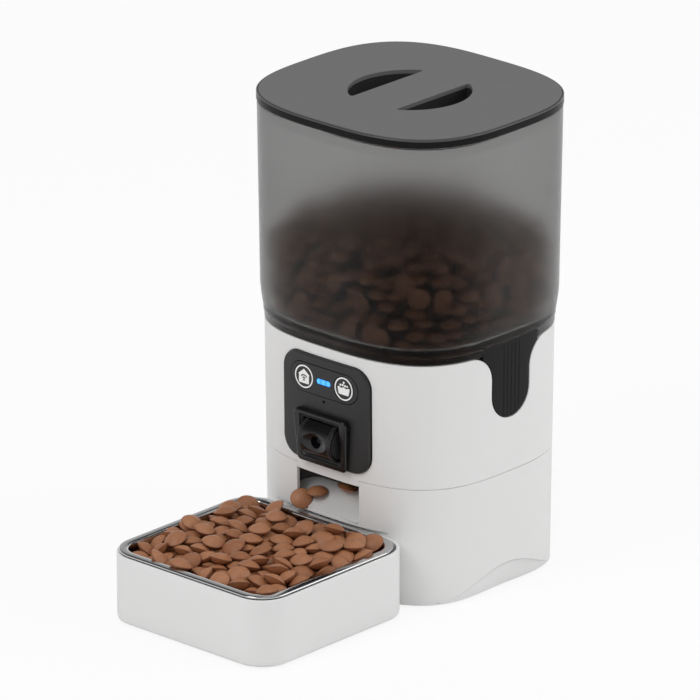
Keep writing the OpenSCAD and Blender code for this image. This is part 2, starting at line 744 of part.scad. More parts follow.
module rotor() {
    color("lightgray") in_body() difference() {
        union() {
            translate([0, 0, rotor_z0]) cylinder(d = hub_d, h = rotor_h);
            for (i = [0 : vane_count - 1]) rotate(360 * i / vane_count)
                box(hub_d / 2 - 1, rotor_d / 2, -vane_t / 2, vane_t / 2, rotor_z0, rotor_z1);
        }
        translate([0, 0, rotor_z0 - 1]) cylinder(d = shaft_d, h = rotor_h + 2);
    }
}
arm_d = 5;
arm_count = 3;
finger_h = 16;
cone_h = 15;
cone_top = 9;
shaft_bite = 4;
module agitator() {
    color("darkgray") in_body() difference() {
        union() {
            translate([0, 0, rotor_z1]) cylinder(d1 = hub_d, d2 = cone_top, h = cone_h);
            for (i = [0 : arm_count - 1]) rotate(360 * i / arm_count) {
                translate([0, 0, rotor_z1 + arm_d]) rod_x(arm_d, 0, agitator_r);
                translate([agitator_r, 0, rotor_z1 + arm_d]) {
                    sphere(d = arm_d);
                    cylinder(d = arm_d, h = finger_h);
                    translate([0, 0, finger_h]) sphere(d = arm_d);
                }
            }
        }
        translate([0, 0, rotor_z1 - 1]) cylinder(d = shaft_d, h = shaft_bite + 1);
    }
}
shaft_z1 = rotor_z1 + shaft_bite;
module rotor_shaft() {
    color("silver") in_body() translate([0, 0, frame_z0 + move_gap])
        cylinder(d = shaft_d, h = shaft_z1 - frame_z0 - move_gap);
}

// Drive: a spur pair under the housing, on a frame that carries the motor
gear_z1 = cup_under - bush_flange - move_gap;
gear_z0 = gear_z1 - gear_w;
gear_drop = 2;
frame_z1 = gear_z0 - gear_drop;
frame_z0 = frame_z1 - frame_t;
addendum = 0.8 * gear_module;
dedendum = 1.1 * gear_module;
centre_play = 0.15;
gear_centre = gear_module * (gear_teeth + pinion_teeth) / 2 + centre_play;
function roll(rb, r) = let (k = sqrt(max(0, pow(r / rb, 2) - 1))) k * 180 / PI - atan(k);
function polar(r, t) = [r * cos(t), r * sin(t)];
function gear_outline(teeth) = let (
    rp = gear_module * teeth / 2,
    rb = rp * cos(gear_pressure),
    r0 = rp - dedendum,
    r1 = rp + addendum,
    half = 90 / teeth - backlash / 2 / rp * 180 / PI + roll(rb, rp),
    flank = concat([r0], [for (i = [0 : 4]) max(rb, r0) + (r1 - max(rb, r0)) * i / 4])) [
    for (k = [0 : teeth - 1]) each concat(
        [for (r = flank) polar(r, 360 * k / teeth - half + roll(rb, r))],
        [for (i = [len(flank) - 1 : -1 : 0]) polar(flank[i], 360 * k / teeth + half - roll(rb, flank[i]))])];
module drive_gear() {
    color("ivory") in_body() translate([0, 0, gear_z0]) difference() {
        rotate(90) linear_extrude(gear_w) polygon(gear_outline(gear_teeth));
        translate([0, 0, -1]) cylinder(d = shaft_d, h = gear_w + 2);
    }
}
module motor_pinion() {
    color("ivory") in_body() translate([0, gear_centre, gear_z0]) difference() {
        rotate(-90 + 180 / pinion_teeth) linear_extrude(gear_w) polygon(gear_outline(pinion_teeth));
        translate([0, 0, -1]) cylinder(d = motor_shaft_d, h = gear_w + 2);
    }
}
gearhead_h = 14;
gearhead_w = 30;
motor_shaft_in = 8;
module motor_shaft() {
    color("silver") in_body() translate([0, gear_centre, frame_z0 - motor_shaft_in])
        cylinder(d = motor_shaft_d, h = gear_z1 - frame_z0 + motor_shaft_in);
}
module gear_motor() {
    color("slategray") in_body() translate([0, gear_centre, frame_z0]) difference() {
        union() {
            box(-gearhead_w / 2, gearhead_w / 2, -gearhead_w / 2, gearhead_w / 2, -gearhead_h, 0);
            translate([0, 0, -gearhead_h - motor_len]) cylinder(d = motor_d, h = motor_len + 1);
        }
        translate([0, 0, -motor_shaft_in - move_gap])
            cylinder(d = motor_shaft_d + 2 * run_gap, h = motor_shaft_in + 1);
    }
}
post_d = 8;
frame_w = 62;
frame_r = 6;
frame_y0 = -13;
post_edge = 1;
post_x = 24;
post_ys = [10, 30];
post_bite = 7;
motor_hole_gap = 1;
frame_posts = [for (sx = [-1, 1], y = post_ys) [sx * post_x, y]];
module gearbox_frame() {
    y1 = gear_centre + gearhead_w / 2 + post_edge;
    color("gray") in_body() difference() {
        union() {
            translate([0, (frame_y0 + y1) / 2, frame_z0])
                linear_extrude(frame_t) polygon(rounded(frame_w, y1 - frame_y0, frame_r));
            for (p = frame_posts)
                translate([p[0], p[1], frame_z0]) cylinder(d = post_d, h = cup_under - frame_z0);
        }
        translate([0, 0, frame_z0 - 1]) cylinder(d = shaft_d + 2 * run_gap, h = frame_t + 2);
        translate([0, gear_centre, frame_z0 - 1])
            cylinder(d = motor_shaft_d + 2 * motor_hole_gap, h = frame_t + 2);
        for (p = frame_posts)
            translate([p[0], p[1], cup_under - post_bite - 1]) cylinder(d = screw_d, h = far);
    }
}
module gearbox_screws() {
    color("silver") in_body() for (p = frame_posts)
        translate([p[0], p[1], cup_floor - screw_head_h]) mirror([0, 0, 1])
            screw(cup_wall - screw_head_h + post_bite);
}

// Chute: a white apron in the outlet and a dark tube from the drop hole down to it
chute_z1 = cup_under - move_gap;
chute_over = 1;
chute_y1 = -drop_in + chute_over;
chute_y0 = front_y(base_a(chute_lip));
module chute_trough() {
    half = outlet_w / 2 - fit_gap;
    translate([0, chute_y0, chute_lip]) rotate([chute_slope, 0, 0]) difference() {
        box(-half - chute_wall, half + chute_wall, -outlet_w, far, -chute_wall, outlet_w);
        translate([0, 0, chute_hollow]) rod_y(2 * chute_hollow, -far, 2 * far, $fn = 360);
        box(-half, half, -far, 2 * far, chute_hollow - sqrt(pow(chute_hollow, 2) - pow(half, 2)), far);
    }
}
module chute_room(y0, y1) {
    half = outlet_w / 2 - fit_gap;
    z0 = dock_top + dock_roof + fit_gap;
    z1 = min(outlet_top - fit_gap, chute_z1);
    intersection() {
        union() {
            translate([0, 0, z0]) linear_extrude(z1 - z0) intersection() {
                polygon(plan(base_a(chute_lip) - fit_gap));
                translate([-half, -lid_a]) square([2 * half, lid_a]);
            }
            translate([0, 0, z0]) linear_extrude(chute_z1 - z0)
                polygon(plan(base_a(chute_lip) - wall - move_gap));
        }
        box(-lid_a, lid_a, y0, y1, 0, far);
    }
}
module chute_apron() {
    color("whitesmoke") in_body() intersection() {
        chute_trough();
        chute_room(-lid_a, chute_y0 + apron_len);
    }
}
module chute_tube() {
    color([0.27, 0.27, 0.28]) in_body() intersection() {
        chute_trough();
        chute_room(chute_y0 + apron_len, chute_y1);
    }
}

// Front panel: a black plate that follows the wall, with a flange behind it
flange_t = 1.5;
face_a = base_a(panel_z) + panel_proud;
face_y = front_y(face_a);
hood_clear = barrel_d / 2 + move_gap;
cheek_t = 2.6;
cheek_root = 0.5;
cheek_x = window_w / 2 + cheek_t;
module panel_opening(grow) {
    slab_y(-far, 0) translate([0, camera_z])
        square([2 * (cheek_x + grow), 2 * (hood_clear + grow)], center = true);
}
flange_over = 2;
band_over = 4;
pad_post_d = 2 * screw_d;
pad_post_set = 6;
pad_posts_x = panel_w / 2 - pad_post_set;
pad_posts_z = [mic_z - 4, deck_z + deck_h / 2 + 2];
pad_bite = 2;
board_face_y = front_y(base_a(pad_posts_z[0]) - wall - flange_t, pad_posts_x + pad_post_d / 2) + 2 * fit_gap;
function pad_post_y0(z) =
    front_y(base_a(z - pad_post_d / 2) - wall - fit_gap, pad_posts_x + pad_post_d / 2);
module front_panel() {
    z0 = panel_z - panel_h / 2 - band_over;
    z1 = panel_z + panel_h / 2 + band_over;
    color([0.16, 0.16, 0.16]) in_body() difference() {
        union() {
            intersection() {
                base_band(z0, z1, panel_proud, wall + flange_t);
                slab_y(-far, 0) polygon(panel_outline(0));
            }
            intersection() {
                base_band(z0, z1, -wall - fit_gap, wall + flange_t);
                slab_y(-far, 0) polygon(panel_outline(flange_over));
            }
            for (s = [-1, 1], z = pad_posts_z)
                translate([s * pad_posts_x, 0, z])
                    rod_y(pad_post_d, pad_post_y0(z), board_face_y);
        }
        slab_y(-far, 0) translate([0, deck_z]) polygon(pill(deck_w, deck_h));
        panel_opening(fit_gap);
        translate([0, 0, mic_z]) rod_y(mic_d, -far, 0);
        for (s = [-1, 1], z = pad_posts_z)
            translate([s * pad_posts_x, 0, z]) rod_y(screw_d, board_face_y - pad_bite, 0);
    }
}
deck_sink = 0.4;
cap_flange = 1;
cap_t = 2.6;
cap_flange_t = 1;
pad_t = 1.4;
pad_inset = 1.2;
module button_deck() {
    z0 = deck_z - deck_h;
    z1 = deck_z + deck_h;
    color([0.06, 0.06, 0.06]) in_body() difference() {
        intersection() {
            base_band(z0, z1, panel_proud - deck_sink, wall);
            slab_y(-far, 0) translate([0, deck_z]) polygon(pill(deck_w - 2 * fit_gap, deck_h - 2 * fit_gap));
        }
        for (s = [-1, 1]) translate([s * button_pitch / 2, 0, deck_z]) {
            rod_y(button_d + 2 * move_gap, -far, 0);
            rod_y(button_d + 2 * cap_flange + 2 * move_gap, button_y + cap_t - move_gap, 0);
        }
        slab_y(-far, 0) translate([0, deck_z]) polygon(pill(light_w + 2 * fit_gap, light_h + 2 * fit_gap));
    }
}
button_y = front_y(base_a(deck_z) + panel_proud, button_pitch / 2);
stem_d = 6;
pad_y0 = board_face_y - pad_t;
module button(s) {
    color([0.06, 0.06, 0.06]) in_body() translate([s * button_pitch / 2, 0, deck_z]) {
        rod_y(button_d, button_y, button_y + cap_t);
        rod_y(button_d + 2 * cap_flange, button_y + cap_t, button_y + cap_t + cap_flange_t);
        rod_y(stem_d, button_y + cap_t, pad_y0 - button_travel - move_gap);
    }
}
module wifi_button() {
    button(-1);
}
module feed_button() {
    button(1);
}
module status_light() {
    color("deepskyblue") in_body()
        slab_y(face_y + deck_sink, board_face_y) translate([0, deck_z]) polygon(pill(light_w, light_h));
}
module button_pad() {
    color("gainsboro") in_body() difference() {
        slab_y(pad_y0, board_face_y) translate([0, deck_z])
            polygon(pill(deck_w - 2 * pad_inset, deck_h - 2 * pad_inset));
        slab_y(-far, 0) translate([0, deck_z]) polygon(pill(light_w + 2 * fit_gap, light_h + 2 * fit_gap));
    }
}
module panel_board() {
    color("darkgreen") in_body() difference() {
        box(-pad_posts_x - pad_post_d / 2, pad_posts_x + pad_post_d / 2, board_face_y, board_face_y + board_t,
            pad_posts_z[0] - pad_post_d / 2, pad_posts_z[1] + pad_post_d / 2);
        for (s = [-1, 1], z = pad_posts_z)
            translate([s * pad_posts_x, 0, z]) rod_y(screw_d, -far, 0);
    }
}
mic_body_d = 5;
module microphone() {
    color("silver") in_body() translate([0, 0, mic_z])
        rod_y(mic_body_d, front_y(base_a(mic_z) - wall - flange_t) + fit_gap, board_face_y);
}

// Camera: a hood on the panel, a barrel that tilts on two pins, and the lens in its dish
axis_y = face_y + barrel_set;
hood_z0 = camera_z - hood_h / 2;
hood_z1 = camera_z + hood_h / 2;
hood_r = 3;
window_h = 22.5;
module hood_outline() {
    polygon(concat(
        arc(hood_top_w / 2 - hood_r, hood_z1 - hood_r, hood_r, 0, 90),
        arc(hood_r - hood_top_w / 2, hood_z1 - hood_r, hood_r, 90, 180),
        arc(hood_r - hood_foot_w / 2, hood_z0 + hood_r, hood_r, 180, 270),
        arc(hood_foot_w / 2 - hood_r, hood_z0 + hood_r, hood_r, 270, 360)));
}
module camera_hood() {
    lean = atan((hood_top_out - hood_foot_out) / hood_h);
    z0 = hood_z0 - band_over;
    z1 = hood_z1 + band_over;
    color([0.1, 0.1, 0.1]) in_body() difference() {
        union() {
            difference() {
                slab_y(face_y - 2 * hood_top_out, face_y + band_over) hood_outline();
                loft([ring(base_a(z0) + panel_proud, z0), ring(base_a(z1) + panel_proud, z1)],
                     closed = false);
                slab_y(-far, 0) translate([0, camera_z]) square([window_w, window_h], center = true);
                slab_y(face_y - move_gap, 0) translate([0, camera_z])
                    square([window_w, 2 * hood_clear], center = true);
                translate([0, face_y - hood_foot_out, hood_z0]) rotate([lean, 0, 0])
                    box(-far, far, -far, 0, -far, far);
            }
            for (s = [-1, 1])
                translate([s * (window_w + cheek_t) / 2, 0, 0])
                    box(-cheek_t / 2, cheek_t / 2, face_y - cheek_root, axis_y + tilt_pin_d,
                        camera_z - hood_clear, camera_z + hood_clear);
        }
        translate([0, axis_y, camera_z]) rod_x(tilt_pin_d + 2 * run_gap, -far, far);
        translate([0, axis_y, camera_z]) rod_x(barrel_d + 2 * move_gap, -window_w / 2, window_w / 2);
    }
}
dish_depth = 4.5;
dish_flare = 2;
pin_floor = 2;
lens_sink = 0.5;
module_w = 14;
module_t = 9;
ring_t = 1;
lens_y = axis_y - barrel_d / 2 + dish_depth;
module camera_barrel() {
    color([0.08, 0.08, 0.08]) in_body() translate([0, axis_y, camera_z]) difference() {
        rod_x(barrel_d, -barrel_len / 2, barrel_len / 2);
        translate([0, -barrel_d / 2 - 1, 0]) rotate([-90, 0, 0])
            cylinder(d1 = dish_d + dish_flare, d2 = lens_d + 2 * ring_t, h = dish_depth + 1);
        rod_y(lens_d + 2 * ring_t, -barrel_d, 0);
        box(-module_w / 2 - fit_gap, module_w / 2 + fit_gap, -fit_gap, barrel_d,
            -module_w / 2 - fit_gap, module_w / 2 + fit_gap);
        rod_x(tilt_pin_d, -barrel_len, -module_w / 2 - pin_floor);
        rod_x(tilt_pin_d, module_w / 2 + pin_floor, barrel_len);
    }
}
module barrel_pins() {
    color("silver") in_body() translate([0, axis_y, camera_z]) {
        rod_x(tilt_pin_d, -cheek_x, -module_w / 2 - pin_floor);
        rod_x(tilt_pin_d, module_w / 2 + pin_floor, cheek_x);
    }
}
module lens_ring() {
    color("dimgray") in_body() translate([0, 0, camera_z]) difference() {
        rod_y(lens_d + 2 * ring_t, lens_y, axis_y);
        rod_y(lens_d, lens_y - 1, axis_y + 1);
    }
}
module camera_lens() {
    color([0.1, 0.1, 0.2]) in_body() translate([0, 0, camera_z]) rod_y(lens_d, lens_y + lens_sink, axis_y);
}
module camera_module() {
    color("darkgreen") in_body() translate([0, axis_y, camera_z])
        box(-module_w / 2, module_w / 2, 0, module_t, -module_w / 2, module_w / 2);
}

// Boards, speaker and power inlet
module main_board() {
    color("darkgreen") in_body() difference() {
        translate([board_at[0], board_at[1], board_z0])
            box(-board_w / 2, board_w / 2, -board_h / 2, board_h / 2, 0, board_t);
        for (p = board_posts)
            translate([p[0], p[1], 0]) cylinder(d = screw_d, h = far);
    }
}
module board_screws() {
    color("silver") in_body() {
        for (p = board_posts)
            translate([p[0], p[1], board_z0 + board_t]) mirror([0, 0, 1]) screw(board_t + board_bite);
        for (s = [-1, 1], z = pad_posts_z)
            translate([s * pad_posts_x, board_face_y + board_t, z]) rotate([90, 0, 0])
                screw(board_t + pad_bite);
    }
}
speaker_h = 12;
magnet_share = 0.6;
module speaker() {
    color([0.15, 0.15, 0.15]) in_body() translate([speaker_at[0], speaker_at[1], plate_z1]) {
        cylinder(d = speaker_d, h = speaker_h / 2);
        translate([0, 0, speaker_h / 2])
            cylinder(d1 = speaker_d, d2 = speaker_d * magnet_share, h = speaker_h / 2);
    }
}
socket_len = 14;
collar_w = 2;
collar_t = 1.5;
collar_gap = 0.5;
inlet_depth = 10;
inlet_pin_d = 1.6;
module power_socket() {
    y1 = -front_y(base_a(inlet_z));
    color([0.1, 0.1, 0.1]) in_body() translate([0, 0, inlet_z]) {
        difference() {
            union() {
                rod_y(socket_d, y1 - socket_len, y1);
                rod_y(socket_d + 2 * collar_w, y1 - wall - collar_t - collar_gap, y1 - wall - collar_gap);
            }
            rod_y(inlet_d, y1 - inlet_depth, y1 + 1);
        }
        rod_y(inlet_pin_d, y1 - inlet_depth, y1 - 1);
    }
}

// Tray and bowl: the tray docks under the outlet and the bowl hangs in it by its flange
tray_mid = (tray_y0 + tray_y1) / 2;
tray_floor = 2.2;
module tray_prism(inset, z0, z1) {
    translate([0, tray_mid, z0]) linear_extrude(z1 - z0)
        polygon(rounded(tray_w - 2 * inset, tray_len - 2 * inset, tray_r - inset));
}
bowl_y0 = tray_y0 + flange_inset;
bowl_y1 = front_y(base_a(dock_top)) - move_gap;
module bowl_prism(inset, z0, z1) {
    translate([0, (bowl_y0 + bowl_y1) / 2, z0]) linear_extrude(z1 - z0)
        polygon(rounded(tray_w - 2 * flange_inset - 2 * inset, bowl_y1 - bowl_y0 - 2 * inset,
                        tray_r - flange_inset - inset));
}
module tray() {
    color("whitesmoke") in_body() difference() {
        tray_prism(0, foot_h, tray_h);
        tray_prism(tray_wall, foot_h + tray_floor, tray_h + 1);
    }
}
tray_foot_d = 10;
module tray_feet() {
    color([0.2, 0.2, 0.2]) in_body() for (sx = [-1, 1], sy = [-1, 1])
        translate([sx * (tray_w / 2 - tray_r), tray_mid + sy * (tray_len / 2 - tray_r), 0])
            cylinder(d = tray_foot_d, h = foot_h);
}
bowl_z1 = tray_h + move_gap + 2 * bowl_gauge;
bowl_z0 = bowl_z1 - bowl_depth;
module steel_bowl() {
    color("silver") in_body() difference() {
        union() {
            bowl_prism(0, tray_h + move_gap, bowl_z1);
            bowl_prism(flange_w - bowl_gauge, bowl_z0 - bowl_gauge, bowl_z1);
        }
        bowl_prism(flange_w, bowl_z0, bowl_z1 + 1);
    }
}

lid_shell();
lid_seal();
desiccant_holder();
desiccant_cover();
hopper_bin();
latch_left();
latch_right();
latch_pins();
latch_springs();
base_upper_shell();
base_lower_shell();
bottom_plate();
base_feet();
bottom_screws();
housing_screws();
gearbox_screws();
board_screws();
rotor_housing();
shaft_bush();
rotor();
agitator();
rotor_shaft();
drive_gear();
motor_pinion();
motor_shaft();
gear_motor();
gearbox_frame();
chute_apron();
chute_tube();
front_panel();
button_deck();
wifi_button();
feed_button();
status_light();
button_pad();
panel_board();
microphone();
camera_hood();
camera_barrel();
barrel_pins();
lens_ring();
camera_lens();
camera_module();
main_board();
speaker();
power_socket();
tray();
tray_feet();
steel_bowl();
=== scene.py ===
import math
import random

import bpy
import bmesh
import numpy as np
from mathutils import Euler, Matrix, Vector
from mathutils.geometry import delaunay_2d_cdt


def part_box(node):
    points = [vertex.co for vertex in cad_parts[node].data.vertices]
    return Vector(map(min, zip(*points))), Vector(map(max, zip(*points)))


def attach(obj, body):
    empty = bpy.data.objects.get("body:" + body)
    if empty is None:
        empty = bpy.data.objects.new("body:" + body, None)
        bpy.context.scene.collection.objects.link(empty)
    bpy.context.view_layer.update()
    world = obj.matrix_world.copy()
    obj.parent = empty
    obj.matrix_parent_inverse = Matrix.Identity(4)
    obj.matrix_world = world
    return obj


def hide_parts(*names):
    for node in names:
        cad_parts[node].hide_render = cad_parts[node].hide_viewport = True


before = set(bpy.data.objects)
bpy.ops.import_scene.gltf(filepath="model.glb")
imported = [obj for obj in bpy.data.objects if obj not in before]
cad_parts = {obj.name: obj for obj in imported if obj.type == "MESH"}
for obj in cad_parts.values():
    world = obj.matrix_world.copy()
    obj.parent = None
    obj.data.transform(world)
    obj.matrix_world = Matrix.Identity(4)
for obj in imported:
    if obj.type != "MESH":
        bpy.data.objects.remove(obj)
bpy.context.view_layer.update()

# Sizes in millimetres, around the middle of the body: +X right, +Y back, floor at 0
MM = 0.001
lid_low, lid_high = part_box("lid_shell")
BODY_Y = (lid_low.y + lid_high.y) / 2 / MM
SHARE = 166 / 180
POWER = 3.0
LID_A = 90.0
BASE_H = 163.5
BASE_TOP_A = 85.4
BASE_TAPER = 1.7
WALL = 2.5
FOOT = 1.0
SPLIT_Z = 80.0
OUTLET_HALF = 26.5
OUTLET_TOP = 76.0
DOCK_TOP = 48.6
DOCK_ROOF = 2.4
LIP_Z = 51.5
SCOOP_W = 132.0
SCOOP_H = 17.3
SCOOP_DEPTH = 4.8
PANEL_W = 73.6
PANEL_H = 71.3
PANEL_Z = 120.7
PANEL_R = 13.0
PANEL_OUT = 2.6
DECK_Z = 140.8
DECK_W = 57.6
DECK_H = 20.1
BUTTON_X = 17.0
MIC_Z = 127.7
CAMERA_Z = 102.5
AXIS_Y = -78.245
BARREL_R = 12.5
LATCH_Y = 2.0
LATCH_W = 36.0
LATCH_DROP = 47.0
LATCH_FILLET = 18.0
LATCH_HEAD = 52.6
LIP_TOP = 169.5
TRAY_HALF = 69.5
TRAY_Y0 = -211.1
TRAY_Y1 = -72.8
TRAY_H = 46.2
TRAY_R = 21.0
BOWL_Y1 = -78.06
BOWL_TOP = 48.2
FLANGE = 6.4
SIDES = ((1, "right"), (-1, "left"))
TURN = 2 * math.pi
TINY = 1e-6
NIL = 1e-9


# Plan outline of the body: a rounded square
def reach(t, power=POWER, share=SHARE):
    return (np.abs(np.cos(t)) ** power + (np.abs(np.sin(t)) / share) ** power) ** (-1 / power)


def ring(a, z, power=POWER, share=SHARE, count=288):
    t = np.linspace(0, TURN, count, endpoint=False)
    r = a * reach(t, power, share)
    return np.c_[r * np.cos(t), r * np.sin(t), np.full(count, z)]


def base_a(z):
    return BASE_TOP_A - BASE_TAPER * (1 - np.asarray(z, float) / BASE_H)


def front_y(a, x):
    return -a * SHARE * np.clip(1 - np.abs(np.asarray(x, float) / a) ** POWER, 0, 1) ** (1 / POWER)


def side_x(a, y):
    return a * np.clip(1 - np.abs(np.asarray(y, float) / (a * SHARE)) ** POWER, 0, 1) ** (1 / POWER)


# The base's wall as a flat sheet: u runs round it from the middle of the front, z runs up
SEAM = math.radians(110)
SHEET_OVERLAP = 0.1
SHEET_Z = 100
sheet_t = np.linspace(SEAM - TURN - SHEET_OVERLAP, SEAM + SHEET_OVERLAP, 9001)
sheet_xy = np.c_[np.cos(sheet_t), np.sin(sheet_t)] * (reach(sheet_t) * base_a(SHEET_Z))[:, None]
sheet_u = np.r_[0, np.cumsum(np.linalg.norm(np.diff(sheet_xy, axis=0), axis=1))]
sheet_u -= np.interp(-math.pi / 2, sheet_t, sheet_u)
U0 = float(np.interp(SEAM - TURN, sheet_t, sheet_u))
U1 = float(np.interp(SEAM, sheet_t, sheet_u))


def u_at(x, y):
    t = np.arctan2(y, x)
    return np.interp(np.where(t > SEAM, t - TURN, t), sheet_t, sheet_u)


def front_uz(points, out=0.0):
    x, z = np.asarray(points, float).T
    return np.c_[u_at(x, front_y(base_a(z) + out, x)), z]


def side_uz(points, side):
    y, z = np.asarray(points, float).T
    return np.c_[u_at(side * side_x(base_a(z), y), y), z]


def scoop_top(y):
    return np.where(np.abs(y) < SCOOP_W / 2, SCOOP_H * np.cos(math.pi * y / SCOOP_W) ** 2, 0.0)


def wall_surface(out=0.0, scoops=False):
    def surface(uz):
        u, z = uz.T
        t = np.interp(u, sheet_u, sheet_t)
        r = (base_a(z) + out) * reach(t)
        x, y = r * np.cos(t), r * np.sin(t)
        if scoops:
            top = scoop_top(y)
            part = np.clip(z / np.maximum(top, TINY), 0, 1)
            x = x - np.sign(x) * SCOOP_DEPTH * top / SCOOP_H * np.sqrt(1 - part ** 2)
        return np.c_[x, y, z]
    return surface


# Flat outlines
def arc(cx, cy, r, t0, t1, steps=12):
    t = np.radians(np.linspace(t0, t1, steps + 1))
    return [(cx + r * math.cos(k), cy + r * math.sin(k)) for k in t]


def rounded(w, h, r, cx=0.0, cy=0.0, steps=12):
    x, y = w / 2 - r, h / 2 - r
    corners = ((x, y, 0), (-x, y, 90), (-x, -y, 180), (x, -y, 270))
    return [p for a, b, t in corners for p in arc(cx + a, cy + b, r, t, t + 90, steps)]


def fillet(corners, steps=6):
    """Outline through corners (x, y, radius)."""
    made = []
    for k, (x, y, r) in enumerate(corners):
        if r == 0:
            made.append((x, y))
            continue
        p = np.array([x, y])
        a = np.array(corners[k - 1][:2]) - p
        b = np.array(corners[(k + 1) % len(corners)][:2]) - p
        a, b = a / np.linalg.norm(a), b / np.linalg.norm(b)
        half = math.acos(max(-1, min(1, float(a @ b)))) / 2
        mid = (a + b) / np.linalg.norm(a + b)
        centre = p + mid * r / math.sin(half)
        for s in np.linspace(0, 1, steps + 1):
            way = (p + a * r / math.tan(half)) * (1 - s) + (p + b * r / math.tan(half)) * s - centre
            made.append(tuple(centre + way / np.linalg.norm(way) * r))
    return made


def dense(points, step, closed=True):
    p = np.asarray(points, float)
    ends = np.roll(p, -1, 0) if closed else p[1:]
    made = []
    for a, b in zip(p, ends):
        count = max(1, math.ceil(np.linalg.norm(b - a) / step))
        made += [a + (b - a) * k / count for k in range(count)]
    return np.array(made if closed else made + [p[-1]])


def unit(v):
    return v / np.maximum(np.linalg.norm(v, axis=1), NIL)[:, None]


SHARPEST = 0.4


def leftward(loop):
    """Shift of each point that moves the whole outline one millimetre to its left."""
    after = unit(np.roll(loop, -1, 0) - loop)
    before = unit(loop - np.roll(loop, 1, 0))
    left = np.c_[-after[:, 1], after[:, 0]]
    mid = unit(left + np.c_[-before[:, 1], before[:, 0]])
    return mid / np.maximum((mid * left).sum(1), SHARPEST)[:, None]


def inside(points, loops):
    odd = np.zeros(len(points), bool)
    x, y = points.T
    for loop in loops:
        for (ax, ay), (bx, by) in zip(loop, np.roll(loop, -1, 0)):
            if ay != by:
                odd ^= ((ay > y) != (by > y)) & (x < (bx - ax) * (y - ay) / (by - ay) + ax)
    return odd


def both(half):
    """An outline of corners (x, y, radius) from one half of it and that half's mirror image."""
    return half + [(-x, y, r) for x, y, r in half[::-1]]


def at(points, z):
    """Flat points at one height."""
    return np.c_[points, np.full(len(points), z)]


def upright(points, y):
    """Points of a standing plane, at one depth or each at its own."""
    return np.c_[points[:, 0], np.full(len(points), y), points[:, 1]]


# Pieces
def make(name, shape, body, material, slot=None, *stands_for, crease=38):
    """A mesh piece riding on a body. Its shape is points in millimetres, faces and, for some, normals."""
    points, faces, *normals = shape
    p = np.asarray(points, float) * MM
    p[:, 1] += BODY_Y * MM
    mesh = bpy.data.meshes.new(name)
    mesh.from_pydata(p.tolist(), [], [list(map(int, f)) for f in faces])
    if not normals:
        bm = bmesh.new()
        bm.from_mesh(mesh)
        bmesh.ops.recalc_face_normals(bm, faces=bm.faces)
        bm.to_mesh(mesh)
        bm.free()
    mesh.shade_smooth()
    if normals:
        mesh.normals_split_custom_set_from_vertices([tuple(n) for n in normals[0]])
    else:
        mesh.set_sharp_from_angle(angle=math.radians(crease))
    mesh.materials.append(material)
    piece = bpy.data.objects.new(name, mesh)
    bpy.context.scene.collection.objects.link(piece)
    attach(piece, body)
    if stands_for:
        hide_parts(*stands_for)
    return piece


def weld(points, faces, normals):
    keys, first, where = np.unique(np.round(points, 3), axis=0, return_index=True, return_inverse=True)
    where = where.reshape(-1)
    summed = np.zeros((len(keys), 3))
    np.add.at(summed, where, normals)
    made = []
    for f in faces:
        g = [where[i] for i in f]
        g = [v for k, v in enumerate(g) if v != g[k - 1]]
        if len(set(g)) > 2:
            made.append(g)
    return points[first], made, unit(summed)


def slopes(surface, uv, h=0.04):
    du = surface(uv + [h, 0]) - surface(uv - [h, 0])
    dv = surface(uv + [0, h]) - surface(uv - [0, h])
    return unit(np.cross(du, dv))


# Least distance of a grid point from an outline, in steps of the grid and squared
GRID_CLEAR = 0.16


